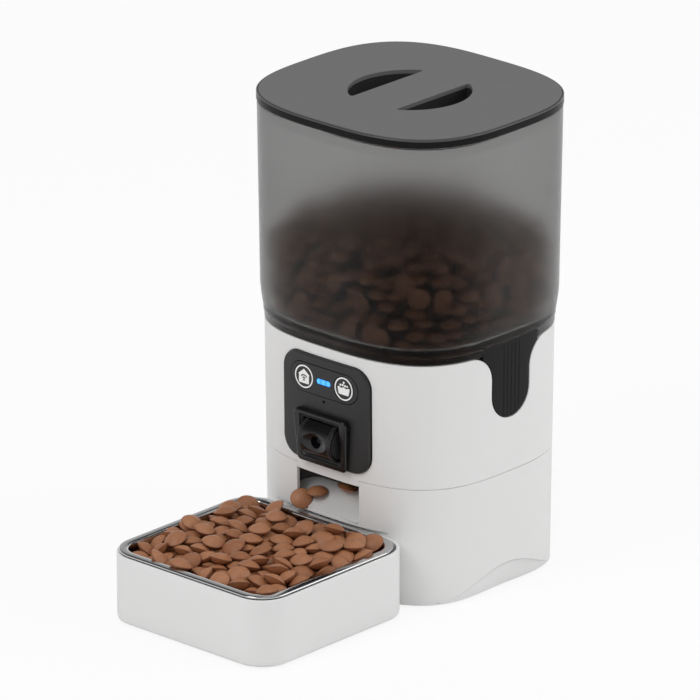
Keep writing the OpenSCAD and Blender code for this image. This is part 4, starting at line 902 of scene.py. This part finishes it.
BUTTON_Y = -80.75
MARK_Y = BUTTON_Y - 0.03
MARK_R = 0.02
MARK_THICK = 0.2
RING_THICK = 0.12
BOWL_EDGE = 5.2
BOWL_RISE = 0.8
WAVES = 24
button_profile = [(0.01, 0.16), (4.0, 0.1), (7.2, 0.0), (7.7, 0.06), (7.93, 0.25), (8.0, 0.5), (8.0, 2.85),
                  (8.9, 2.9), (9.0, 3.0), (9.0, 3.7), (8.9, 3.8), (3.0, 3.85), (3.0, 5.5)]


def mark(name, loops, x, body, thick=MARK_THICK):
    """A thin printed mark that stands on the face of a button."""
    def surface(xz):
        return upright(xz + (x, DECK_Z), MARK_Y)
    shape = skin([(loop, MARK_R) for loop in loops], surface, thick, (0.6, 0.6), rows=1)
    make(name, shape, body, cap_white, "white")


def circle(r, cx=0.0, cy=0.0, hole=False, steps=40):
    p = np.array(arc(cx, cy, r, 0, 360, steps)[:-1])
    return p[::-1] if hole else p


def bow(r0, r1, t0, t1, cy):
    return np.array(arc(0, cy, r1, t0, t1, 14) + arc(0, cy, r0, t1, t0, 14))


house = [(-4.3, -4.5, 0.6), (4.3, -4.5, 0.6), (4.3, 1.0, 0.3), (4.9, 1.3, 0.3), (0, 5.2, 0.6),
         (-4.9, 1.3, 0.3), (-4.3, 1.0, 0.3)]
house_loops = [dense(fillet(house, 4), 0.7)]
house_loops += [bow(r0, r1, 42, 138, -2.3)[::-1] for r0, r1 in ((1.25, 2.15), (2.85, 3.75))]
house_loops.append(circle(0.75, 0, -2.2, True, 16))
food_bowl = [(-BOWL_EDGE, BOWL_RISE, 0.3), (-4.2, -3.9, 1.0), (4.2, -3.9, 1.0), (BOWL_EDGE, BOWL_RISE, 0.3)]
for k in range(1, WAVES):
    wave = 0.35 * math.sin(TURN * 2.5 * k / WAVES)
    food_bowl.append((BOWL_EDGE - 2 * BOWL_EDGE * k / WAVES, BOWL_RISE + wave, 0))
dots = ((-2.7, 2.3, 0.8), (-0.8, 2.5, 0.8), (1.2, 2.3, 0.8), (3.0, 2.3, 0.7), (0.1, 4.3, 0.8))
for word, x in (("wifi", -BUTTON_X), ("feed", BUTTON_X)):
    body = word + "_button"
    cap = lathe(button_profile, 72, (x, BUTTON_Y, DECK_Z), "y")
    make(word + "_cap", cap, body, deck_black, "black_gloss", body)
    mark(word + "_ring", [circle(7.75, steps=72), circle(6.75, hole=True, steps=72)], x, body, RING_THICK)
    if word == "wifi":
        mark(word + "_house", house_loops, x, body)
    else:
        mark(word + "_bowl", [dense(fillet(food_bowl, 4), 0.7)], x, body)
        for k, (cx, cy, r) in enumerate(dots):
            mark(f"{word}_dot_{k}", [circle(r, cx, cy, steps=16)], x, body)

# Camera: a leaning hood, a barrel with a dish, grip bands at its ends, and the lens
HOOD_Z0 = CAMERA_Z - 17.7
HOOD_Z1 = CAMERA_Z + 17.7
HOOD_Y = -83.4
HOOD_LEAN = 2.3
HOOD_BACK = -80.7


def hood_front(z):
    return HOOD_Y - HOOD_LEAN * (z - HOOD_Z0) / (HOOD_Z1 - HOOD_Z0)


def hood_surface(xz):
    return upright(xz, hood_front(xz[:, 1]))


def hood_depth(xz):
    return HOOD_BACK - hood_front(xz[:, 1])


def hood_ring(half, z0, z1, r, depth):
    p = np.array(rounded(2 * half, z1 - z0, r, 0, (z0 + z1) / 2, 6))
    return upright(p, hood_front(p[:, 1]) + depth)


corners = [(-20.7, HOOD_Z0, 3.0), (20.7, HOOD_Z0, 3.0), (22.9, HOOD_Z1, 4.0), (-22.9, HOOD_Z1, 4.0)]
hood_line = dense(fillet(corners, 12), 1.5)
window = dense(rounded(33.4, 28.6, 1.4, 0, 103.2, 6)[::-1], 1.5)
hood = skin([(hood_line, 1.5), (window, 0.6)], hood_surface, hood_depth, (1.6, 1.6), rows=5)
make("hood_frame", hood, "base", gloss_black, "black_gloss", "camera_hood")
tunnel = ((16.8, 88.8, 117.6, 1.4, 0.75), (16.0, 90.2, 115.3, 1.0, 2.2), (16.0, 90.2, 115.3, 1.0, 6.5),
          (17.2, 89.2, 116.3, 1.4, 6.5), (17.6, 88.2, 118.2, 1.6, 2.2))
# Window bevel in the lifted black of painted light
bevel = loft([hood_ring(*row) for row in tunnel], closed=True)
make("hood_bevel_painted_light", bevel, "base", painted_light_black, "black_gloss", "camera_hood", crease=20)

DISH_R = 10.4
DISH_SLOPE = 0.39
DISH_SOFT = 0.02
LENS_HOLE = 4.4
BARREL_HALF = 14.0
BARREL_TURN = math.pi * BARREL_R


def dish_depth(far):
    return -BARREL_R + DISH_SLOPE * (DISH_R - far)


def barrel_surface(vx):
    t, x = vx[:, 0] / BARREL_R, -vx[:, 1]
    rise = BARREL_R * np.sin(t)
    round_y = -BARREL_R * np.cos(t)
    dish = dish_depth(np.hypot(x, rise))
    soft = 0.5 * (round_y + dish + np.sqrt((round_y - dish) ** 2 + DISH_SOFT))
    y = np.where((np.abs(t) < 1.2) & (np.abs(x) < DISH_R), soft, round_y)
    return np.c_[x, AXIS_Y + y, CAMERA_Z + rise]


def on_barrel(r, t):
    return np.c_[BARREL_R * np.arcsin(np.clip(r * np.sin(t) / BARREL_R, -1, 1)), -r * np.cos(t)]


def dish_rim(t, off):
    """Where the dish runs out on the barrel, in one direction."""
    r = np.linspace(LENS_HOLE, DISH_R, 600)
    gap = dish_depth(r) + np.sqrt(BARREL_R ** 2 - (r * math.sin(t)) ** 2)
    return float(r[np.argmax(gap < 0)] if (gap < 0).any() else DISH_R) + off


outline = dense([(-BARREL_TURN, -BARREL_HALF), (BARREL_TURN, -BARREL_HALF),
                 (BARREL_TURN, BARREL_HALF), (-BARREL_TURN, BARREL_HALF)], 1.2)
around = np.linspace(0, TURN, 81)
lens_hole = on_barrel(LENS_HOLE, around[:-1])
dish_lines = [np.vstack([on_barrel(dish_rim(t, off), np.array([t])) for t in around])
              for off in (0.3, 0.1, -0.1, -0.4, -0.9)]
rim = np.where(np.abs(outline[:, 1]) > BARREL_HALF - 0.1, 0.7, 0.0)
barrel = skin([(outline, rim), (lens_hole, 0.25)], barrel_surface, 2.0, (1.1, 1.1),
              lines=dish_lines, seams=(BARREL_TURN, -BARREL_TURN))
make("barrel_body", barrel, "camera", gloss_black, "black_gloss", "camera_barrel")
END_PROFILE = ((0.01, 13.1), (2.5, 13.1), (9.6, 13.3), (10.5, 13.6), (10.6, 13.2), (10.6, 11.8),
               (0.01, 11.8))
# End caps in the lifted black: painted light on faces in the hood's shade
for side, word in SIDES:
    end = lathe([(r, side * h) for r, h in END_PROFILE], 72, (0, AXIS_Y, CAMERA_Z), "x")
    make("barrel_end_" + word, end, "camera", painted_light_black, "black_gloss", "camera_barrel")
GRIP_STEPS = 360
TEETH = 46
TOOTH = 0.16
BAND_IN_R = 11.8
band = ((10.7, -0.2, 0), (10.8, 0.1, 0), (11.0, 0.1, TOOTH), (12.8, 0.1, TOOTH), (13.0, 0.1, 0),
        (13.1, -0.2, 0))
for side, word in SIDES:
    t = np.linspace(0, TURN, GRIP_STEPS, endpoint=False)
    radii = [(along, BARREL_R + grow + tooth * np.sign(np.sin(TEETH * t))) for along, grow, tooth in band]
    rings = [np.c_[np.full(GRIP_STEPS, side * along), AXIS_Y - r * np.cos(t), CAMERA_Z + r * np.sin(t)]
             for along, r in radii + [(12.0, BAND_IN_R)]]
    grip = loft(rings, closed=True)
    make("grip_band_" + word, grip, "camera", deck_black, "black", "camera_barrel", crease=25)
LENS_R = 3.15
DOME = 0.6
lens_centre = (0, AXIS_Y - BARREL_R + 4.5, CAMERA_Z)
sleeve = [(LENS_HOLE + 0.3, -0.6), (LENS_HOLE - 0.15, -0.75), (LENS_HOLE - 0.25, 0.4), (LENS_HOLE - 0.6, 1.4),
          (LENS_HOLE + 0.3, 1.4)]
rings = [lathe([q], 64, lens_centre, "y")[0] for q in sleeve]
make("lens_sleeve", loft(rings, closed=True), "camera", rim_black, "black", "camera_barrel")
dome = [(LENS_R * math.sin(t), DOME + DOME * (1 - math.cos(t))) for t in np.linspace(0.2, math.pi / 2, 9)]
dome = [(0.01, DOME), *dome, (LENS_R, 7.4), (0.01, 7.5)]
make("lens_dome", lathe(dome, 64, lens_centre, "y"), "camera", lens_dark, "lens", "camera_lens")

# Release tabs: ribbed, flush with the wall, with a hinge barrel and a spring tail behind
RIB_PITCH = 3.6
RIB_DEPTH = 0.45
RIB_HALF = 0.55
RIB_TOP = BASE_H + 4.5
TAB_GAP = 0.45
TAB_W = LATCH_W / 2 - TAB_GAP
TAB_X = LATCH_W / 2 + LATCH_FILLET
TAB_FOOT = BASE_H - LATCH_DROP + LATCH_W / 2


def tab_outline():
    f, head, top, low = LATCH_FILLET + TAB_GAP, LATCH_HEAD / 2, LIP_TOP - 0.5, BASE_H - LATCH_FILLET
    t = math.degrees(math.acos((head - LATCH_W / 2 - LATCH_FILLET) / f))
    return [(head, top), *arc(TAB_X, low, f, t, 180, 24), *arc(0, TAB_FOOT, TAB_W, 0, -180, 36),
            *arc(-TAB_X, low, f, 0, 180 - t, 24), (-head, top)]


def tab_surface(side):
    def surface(yz):
        y, z = side * yz[:, 0] + LATCH_Y, yz[:, 1]
        x = side_x(base_a(np.minimum(z, BASE_H)), y) - 0.1
        rib = np.abs(((yz[:, 0] + RIB_PITCH / 2) % RIB_PITCH) - RIB_PITCH / 2)
        fade = np.clip((RIB_TOP - z) / 1.5, 0, 1) * (np.abs(yz[:, 0]) < 2.5 * RIB_PITCH)
        groove = RIB_DEPTH * np.clip(1 - rib / RIB_HALF, 0, 1) * fade
        return np.c_[side * (x - groove), y, z]
    return surface


rib_lines = []
for k in range(-2, 3):
    for off in (-0.6, 0.0, 0.6):
        y = k * RIB_PITCH + off
        foot = TAB_FOOT - math.sqrt(TAB_W ** 2 - y ** 2) + 1.2
        rib_lines.append(np.array([(y, z) for z in np.linspace(foot, RIB_TOP + 0.1, 20)]))
hinge = [(0.01, -10.0), (2.7, -10.0), (3.2, -9.5), (3.2, 9.5), (2.7, 10.0), (0.01, 10.0)]
arm = np.array(fillet([(76.9, 110.6, 0.5), (78.9, 110.6, 0.5), (79.0, 122.0, 0.5), (82.4, 122.0, 0.5),
                       (82.4, 134.0, 0.5), (76.9, 134.0, 0.5)], 3))
tab_line = dense(np.array(tab_outline())[::-1], 1.8)
for side, word in SIDES:
    face = skin([(tab_line, 0.5)], tab_surface(side), 3.0, (2.4, 4), lines=rib_lines)
    pin = lathe(hinge, 40, (side * HINGE_X, LATCH_Y, HINGE_Z), "y")
    tail = loft([upright(arm * (side, 1), LATCH_Y + w) for w in (-9, 9)])
    for name, shape in (("tab_", face), ("tab_hinge_", pin), ("tab_tail_", tail)):
        make(name + word, shape, "latch_" + word, latch_black, "black", "latch_" + word)

# Tray and steel bowl
profile = [(3.2, FOOT), (1.6, FOOT + 0.25), (0.55, FOOT + 0.95), (0.1, FOOT + 2.2), (0.0, FOOT + 3.4),
           (0.0, 22.0), (0.0, TRAY_H - 3.6), (0.0, TRAY_H - 0.9),
           *arc(0.7, TRAY_H - 0.7, -0.7, 0, -90, 4)[1:], (1.4, TRAY_H), (2.0, TRAY_H - 0.2),
           (2.2, TRAY_H - 0.6), (2.2, FOOT + 5.0), (2.8, FOOT + 3.0), (4.5, FOOT + 2.2), (8.0, FOOT + 2.2)]
make("tray_tub", loft([tray_ring(i, z) for i, z in profile]), "tray", white, "white", "tray")

TRAY_RIM = 1.3
GAUGE = 0.8
BOWL_DEPTH = 36.0


def bowl_ring(inset, z):
    return tray_ring(inset, z, TRAY_Y0 + TRAY_RIM, BOWL_Y1, TRAY_HALF - TRAY_RIM, TRAY_R - TRAY_RIM)


well = BOWL_TOP - BOWL_DEPTH
profile = [(FLANGE + 9.0, well - GAUGE), (FLANGE + 4.0, well + 0.2), (FLANGE + 0.9, well + 4.0),
           (FLANGE + 0.2, well + 9.0), (FLANGE - GAUGE, BOWL_TOP - 5.0),
           (FLANGE - GAUGE - 0.2, BOWL_TOP - 2.4), (FLANGE - 1.6, BOWL_TOP - 1.6), (0.8, BOWL_TOP - 1.6),
           *arc(0.8, BOWL_TOP - 0.8, 0.8, 270, 90, 8), (1.6, BOWL_TOP + 0.04), (3.2, BOWL_TOP + 0.08),
           (4.4, BOWL_TOP + 0.03), *arc(4.6, BOWL_TOP - 1.8, 1.8, 88, 0, 6), (FLANGE + 0.1, BOWL_TOP - 5.0),
           (FLANGE + 1.0, well + 9.0), (FLANGE + 1.8, well + 4.4), (FLANGE + 4.6, well + 1.1),
           (FLANGE + 9.0, well)]
bowl = loft([bowl_ring(i, z) for i, z in profile])
make("bowl_steel", bowl, "bowl", bowl_steel, "bowl_steel", "steel_bowl")

# Food: lens-shaped pieces with a pinched edge
PIECE_R = 7.7
PIECE_H = 3.6
KINDS = 6
# Band at each piece's edge that is darkened with painted shade
RIM_SHADE_H = 0.16
RIM_SHADE_FROM = 0.9


def piece_mesh(kind, count, steps):
    """Points, faces and painted-shade weights at the edge of one piece around its own middle."""
    rng = random.Random(100 + kind)
    rows = [(r, 1 - r ** 2.15) for r in steps] + [(0.985, 0.07), (1.0, 0.0)]
    profile = rows + [(r, -h) for r, h in rows[-2::-1]]
    phase = [rng.uniform(0, TURN) for _ in range(3)]
    size = PIECE_R * rng.uniform(0.9, 1.02)
    points, painted_rim_shade = [], []
    for r, h in profile:
        for k in range(1 if r == 0 else count):
            t = TURN * k / count
            wide = 1 + 0.025 * math.sin(2 * t + phase[0]) + 0.018 * math.sin(3 * t + phase[1])
            bend = 0.10 * r * r * math.sin(2 * t + phase[2]) * 0.8
            far = size * r * wide
            points.append((far * math.cos(t), far * math.sin(t), PIECE_H * (h + bend)))
            # Weight of the painted shade: full at the edge, falling off above and below it
            painted_rim_shade.append(max(0.0, 1 - abs(h) / RIM_SHADE_H) if r > RIM_SHADE_FROM else 0.0)
    faces = [(0, 1 + k, 1 + (k + 1) % count) for k in range(count)]
    for row in range(len(profile) - 3):
        a = 1 + row * count
        b = a + count
        faces += [(a + k, b + k, b + (k + 1) % count, a + (k + 1) % count) for k in range(count)]
    last = len(points) - 1
    a = last - count
    faces += [(a + k, last, a + (k + 1) % count) for k in range(count)]
    return np.array(points), faces, painted_rim_shade


near_kinds = [piece_mesh(k, 22, (0.0, 0.2, 0.4, 0.58, 0.73, 0.85, 0.93)) for k in range(KINDS)]
far_kinds = [piece_mesh(k, 14, (0.0, 0.35, 0.65, 0.88)) for k in range(KINDS)]


def gather(name, places, body, kinds):
    """One mesh out of many pieces, each at a 4x4 matrix in millimetres."""
    points, faces, shade, painted_rim_shade = [], [], [], []
    rng = random.Random(name)
    total = 0
    for k, place in enumerate(places):
        p, f, edge = kinds[k % len(kinds)]
        m = np.array(place)
        points.append(p @ m[:3, :3].T + m[:3, 3])
        faces += [tuple(i + total for i in q) for q in f]
        shade += [rng.random()] * len(p)
        painted_rim_shade += edge
        total += len(p)
    piece = make(name, (np.vstack(points), faces), body, kibble, crease=80)
    # First layer: each piece's own random tone; second: where the painted shade lies along its edge
    for word, values in (("shade", shade), ("painted_rim_shade", painted_rim_shade)):
        layer = piece.data.attributes.new(word, "FLOAT", "POINT")
        layer.data.foreach_set("value", values)


# Metres for a millimetre in the fall: ten times life size, which the solver handles better
BIG = 0.01
FRICTION = 0.5


def in_fall(mesh, kept):
    o = bpy.data.objects.new(mesh.name, mesh)
    bpy.context.scene.collection.objects.link(o)
    kept.append(o)
    return o


def settle(starts, walls, frames):
    """Drops the pieces into the given walls and returns where they come to rest."""
    scene = bpy.context.scene
    made, still, hulls = [], [], []
    bpy.ops.object.select_all(action="DESELECT")
    for p, _, _ in near_kinds:
        hull = bmesh.new()
        for q in p[::3]:
            hull.verts.new(q * BIG)
        bmesh.ops.convex_hull(hull, input=hull.verts)
        mesh = bpy.data.meshes.new("falling")
        hull.to_mesh(mesh)
        hull.free()
        hulls.append(mesh)
    for k, place in enumerate(starts):
        m = place.copy()
        m.translation = m.translation * BIG
        in_fall(hulls[k % len(hulls)], made).matrix_world = m
    for points, faces in walls:
        mesh = bpy.data.meshes.new("still")
        mesh.from_pydata((np.asarray(points) * BIG).tolist(), [], [list(map(int, f)) for f in faces])
        in_fall(mesh, still)
    bpy.ops.rigidbody.world_add()
    world = scene.rigidbody_world
    world.substeps_per_frame = 8
    world.solver_iterations = 16
    world.point_cache.frame_end = frames
    for group, kind in ((made, "ACTIVE"), (still, "PASSIVE")):
        bpy.ops.object.select_all(action="DESELECT")
        for o in group:
            o.select_set(True)
        bpy.context.view_layer.objects.active = group[0]
        bpy.ops.rigidbody.objects_add(type=kind)
        for o in group:
            body = o.rigid_body
            body.collision_shape = "CONVEX_HULL" if kind == "ACTIVE" else "MESH"
            body.friction = FRICTION
            body.restitution = 0.02
            body.use_margin = True
            body.collision_margin = 0.0 if kind == "ACTIVE" else 0.002
            if kind == "ACTIVE":
                body.linear_damping = 0.15
                body.angular_damping = 0.35
    for f in range(1, frames + 1):
        scene.frame_set(f)
    graph = bpy.context.evaluated_depsgraph_get()
    rest = []
    for o in made:
        m = o.evaluated_get(graph).matrix_world.copy()
        m.translation = m.translation / BIG
        rest.append(m)
    bpy.ops.rigidbody.world_remove()
    for o in made + still:
        bpy.data.objects.remove(o)
    scene.frame_set(1)
    return rest


def turned(x, y, z, a, b, c):
    return Matrix.Translation((x, y, z)) @ Euler((a, b, c)).to_matrix().to_4x4()


UP = Vector((0, 0, 1))
STEEP = 0.5
STEEP_KEPT = 0.35
STEEP_SINK = 0.4


def calm(m):
    """Lays a piece that stands on its edge flatter, as shaking the bowl would."""
    up = m.to_3x3().col[2]
    up = -up if up.z < 0 else up
    tilt = up.angle(UP)
    if tilt < STEEP:
        return m
    less = STEEP + (tilt - STEEP) * STEEP_KEPT
    turn = up.rotation_difference(UP.slerp(up, less / tilt))
    sink = STEEP_SINK * PIECE_R * (math.sin(tilt) - math.sin(less))
    return Matrix.Translation(m.translation - UP * sink) @ (turn.to_matrix() @ m.to_3x3()).to_4x4()


# Bowl's heap, dropped on a mound of pieces that nobody sees
DROP_COUNT = 286
DROP_HALF = 53
DROP_Y0 = -194
DROP_Y1 = -89
DROP_Z = 62
DROP_STEP = 12
DROP_PITCH = 19
DROP_TILT = 0.45
DROP_FRAMES = 80
DROP_SEED = 5
MOUND_IN = FLANGE + 1.4
MOUND_Y = -143.9
HEAP_Z = 24
HOOD_CLEAR_X = 30
HOOD_CLEAR_Y = -91.5
HOOD_CLEAR_Z = 43.5


def drop_points():
    rng = random.Random(DROP_SEED)
    made = []
    deep_y = DROP_Y1 - DROP_Y0
    across, deep = int(2 * DROP_HALF // DROP_PITCH), int(deep_y // DROP_PITCH)
    for k in range(DROP_COUNT):
        i, j, level = k % across, k // across % deep, k // (across * deep)
        x = -DROP_HALF + 2 * DROP_HALF * (i + 0.5) / across + rng.uniform(-2, 2)
        y = DROP_Y0 + deep_y * (j + 0.5) / deep + rng.uniform(-2, 2)
        tilt = [rng.uniform(-DROP_TILT, DROP_TILT) for _ in range(2)]
        made.append(turned(x, y, DROP_Z + level * DROP_STEP, *tilt, rng.uniform(0, 6)))
    return made


def mound_height(x, y):
    """Top of the hidden mound: highest a little left of the middle and behind it."""
    return 23 + 12 * math.exp(-((x + 6) ** 2 + (y + 122) ** 2) / 2800)


def clears_hood(m):
    """Whether a piece passes the camera's hood when the bowl is lifted."""
    x, y, z = m.translation
    return y < HOOD_CLEAR_Y or abs(x) > HOOD_CLEAR_X or z < HOOD_CLEAR_Z


mound = []
for share in (1.0, 0.8, 0.6, 0.4, 0.2, 0.02):
    row = bowl_ring(MOUND_IN, 0)
    row[:, :2] = (row[:, :2] - (0, MOUND_Y)) * share + (0, MOUND_Y)
    row[:, 2] = [mound_height(q[0], q[1]) for q in row]
    mound.append(row)
pen = [(MOUND_IN, 20.0), (FLANGE + 0.2, BOWL_TOP - 5.0), (FLANGE - 0.8, BOWL_TOP - 0.6),
       (FLANGE - 2.0, BOWL_TOP), (0.3, BOWL_TOP + 0.1), (0.0, BOWL_TOP - 1.0), (-1.0, -200)]
starts = drop_points()
walls = [loft(mound, caps=False), loft([bowl_ring(i, z) for i, z in pen], caps=False)]
heap = settle(starts, walls, DROP_FRAMES)
heap = [calm(m) for m in heap if m.translation.z > HEAP_Z and clears_hood(m)]
gather("bowl_food", heap, "bowl", near_kinds)

# Outlet's three pieces, lying on the apron
OUTLET_SCALE = 0.92
resting = [turned(-21.7, -78.2, 55.9, math.radians(50), math.radians(30), 0.4),
           turned(-15.2, -70.4, 60.2, math.radians(2), math.radians(-6), 1.2),
           turned(4.5, -63.2, 66.2, math.radians(12), math.radians(8), 2.0)]
gather("outlet_food", [m @ Matrix.Scale(OUTLET_SCALE, 4) for m in resting], "base", near_kinds)

# Hopper's load: pieces against the walls, and two layers over a mound of painted shade
LOAD_SEED = 21
LOAD_ROUND = 34
LOAD_TRIES = 9000
LOAD_A = 76
LOAD_GAP = 12.6
LAYER = 5.5
CORE_ROUND = 96
CORE_A = 79
CORE_DROP = 7
levels = [150.0, 159.0, 167.0] + [180.5 + 8.8 * k for k in range(7)]


def load_height(x, y):
    """Top of the hopper's load: a low heap that falls off towards the walls."""
    return 228 + 9 * math.exp(-((x + 8) ** 2 + (y + 10) ** 2) / 3000) - 8 * (math.hypot(x, y) / 85) ** 2


rng = random.Random(LOAD_SEED)
places = []
for level, z in enumerate(levels):
    on_funnel = z < FUNNEL_Z
    a = float(np.interp(z, [w[1] for w in bin_outer], [w[0] for w in bin_outer])) - BIN_WALL
    if on_funnel:
        a = NECK_R + (z - NECK_Z1) / funnel_slope
    for k in range(LOAD_ROUND):
        t = TURN * (k + 0.5 * (level % 2) + rng.uniform(-0.3, 0.3)) / LOAD_ROUND
        r = a * float(reach(np.array(t)))
        x, y = r * math.cos(t), r * math.sin(t)
        out = Vector((abs(x) * x, abs(y) * y / SHARE ** 3, 0)).normalized()
        out = (out - UP / funnel_slope).normalized() if on_funnel else out
        shake = Vector([rng.uniform(-0.3, 0.3) for _ in range(3)])
        axis = ((out if on_funnel or rng.random() < 0.3 else UP) + shake).normalized()
        face = abs(axis.dot(out))
        away = math.sqrt(PIECE_R ** 2 * (1 - face ** 2) + PIECE_H ** 2 * face ** 2) * 0.96 + 0.3
        spot = Vector((x, y, z + rng.uniform(-1.5, 1.5))) - out * away
        if spot.z < load_height(spot.x, spot.y):
            places.append(Matrix.Translation(spot) @ axis.to_track_quat("Z", "Y").to_matrix().to_4x4())
taken = []
for k in range(LOAD_TRIES):
    x, y = rng.uniform(-82, 82), rng.uniform(-76, 76)
    layer = k % 2
    if math.hypot(x, y) > LOAD_A * float(reach(np.array(math.atan2(y, x)))):
        continue
    if any(q[2] == layer and (q[0] - x) ** 2 + (q[1] - y) ** 2 < LOAD_GAP ** 2 for q in taken):
        continue
    taken.append((x, y, layer))
    tilt = [rng.uniform(-0.35, 0.35) for _ in range(2)]
    places.append(turned(x, y, load_height(x, y) - LAYER * layer, *tilt, rng.uniform(0, 6)))
gather("hopper_food", places, "hopper", far_kinds)
# The mound: a near-black sheet of painted shade for the food deep under the layers
core = [ring(NECK_R - 3, 140.0, 2, 1, CORE_ROUND)]
core += [ring(a, z, count=CORE_ROUND) for a, z in ((76, 176.0), (78, 190.0))]
for share in (0.97, 0.8, 0.6, 0.4, 0.2, 0.05):
    row = ring(CORE_A * share, 0, count=CORE_ROUND)
    row[:, 2] = [load_height(p[0], p[1]) - CORE_DROP for p in row]
    core.append(row)
make("hopper_food_core", loft(core), "hopper", food_shadow)

# Finishes of the pieces that stay as they are
finish = (
    (clear_soft, "lid_seal"), (white, "desiccant_holder"), (brass, "shaft_bush"), (seal_grey, "button_pad"),
    (latch_black, "barrel_pins"), (rim_black, "lens_ring"), (gloss_black, "power_socket"),
    (grey_inner, "desiccant_cover bottom_plate rotor agitator"), (rubber, "base_feet speaker tray_feet"),
    (chute_dark, "rotor_housing gearbox_frame"), (nylon, "drive_gear motor_pinion"),
    (circuit, "panel_board camera_module main_board"),
    (steel, "latch_pins latch_springs bottom_screws housing_screws gearbox_screws board_screws"),
    (steel, "rotor_shaft motor_shaft gear_motor microphone"))
for material, names in finish:
    for name in names.split():
        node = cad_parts[name]
        node.data.materials.clear()
        node.data.materials.append(material)

# Stage: pale floor, white surroundings, soft light
FLOOR_SIZE = 14
FLOOR_GLOW = 0.86
AMBIENT = 0.52
SEEN = ("Is Camera Ray", "Is Transmission Ray")
WHITE = (1, 1, 1, 1)
bpy.ops.mesh.primitive_plane_add(size=FLOOR_SIZE)
ground = bpy.context.object
ground.name = "floor"
m = bpy.data.materials.new("floor_white")
m.use_nodes = True
tree = m.node_tree
tree.nodes.clear()
matt = add(tree, "BsdfDiffuse", {"Color": (0.93, 0.93, 0.93, 1)}).outputs[0]
shine = add(tree, "Emission", {"Strength": 1.0}).outputs[0]
bright = either(tree, FLOOR_GLOW, matt, shine)
add(tree, "OutputMaterial", {0: either(tree, flag(tree, *SEEN), matt, bright)})
ground.data.materials.append(m)

world = bpy.data.worlds.new("studio")
bpy.context.scene.world = world
world.use_nodes = True
tree = world.node_tree
tree.nodes.clear()
ambient = add(tree, "Background", {"Color": WHITE, "Strength": AMBIENT}).outputs[0]
backdrop = add(tree, "Background", {"Color": WHITE}).outputs[0]
upward = add(tree, "SeparateXYZ", {0: where_on(tree, "Generated")}).outputs["Z"]
fall = spread(tree, upward, 1.0, 0.04, 0.12, 0.56)
mirrored = add(tree, "Background", {"Color": WHITE, "Strength": fall}).outputs[0]
lit = either(tree, flag(tree, "Is Glossy Ray"), ambient, mirrored)
add(tree, "OutputWorld", {0: either(tree, flag(tree, *SEEN), lit, backdrop)})


def lamp(name, place, aim, size, power):
    data = bpy.data.lights.new(name, "AREA")
    data.shape = "SQUARE"
    data.size = size
    data.energy = power
    o = bpy.data.objects.new(name, data)
    bpy.context.scene.collection.objects.link(o)
    o.location = place
    o.rotation_euler = (Vector(aim) - Vector(place)).to_track_quat("-Z", "Y").to_euler()


lamp("key", (-0.25, -2.28, 2.4), (0, 0, 0.12), 1.5, 29)
lamp("fill", (2.05, 1.6, 1.3), (0, 0, 0.12), 1.8, 20)
lamp("top", (0.1, 0.4, 2.6), (0, 0, 0.1), 2.0, 12)

eye = bpy.data.cameras.new("camera")
eye.sensor_width = 36
eye.lens = 492.8
eye.clip_end = 40
camera = bpy.data.objects.new("camera", eye)
camera.location = (3.8366, -4.1865, 2.2794)
camera.rotation_euler = (math.radians(69.518), 0, math.radians(42.449))
bpy.context.scene.collection.objects.link(camera)
bpy.context.scene.camera = camera
bpy.context.scene.view_settings.view_transform = "Standard"
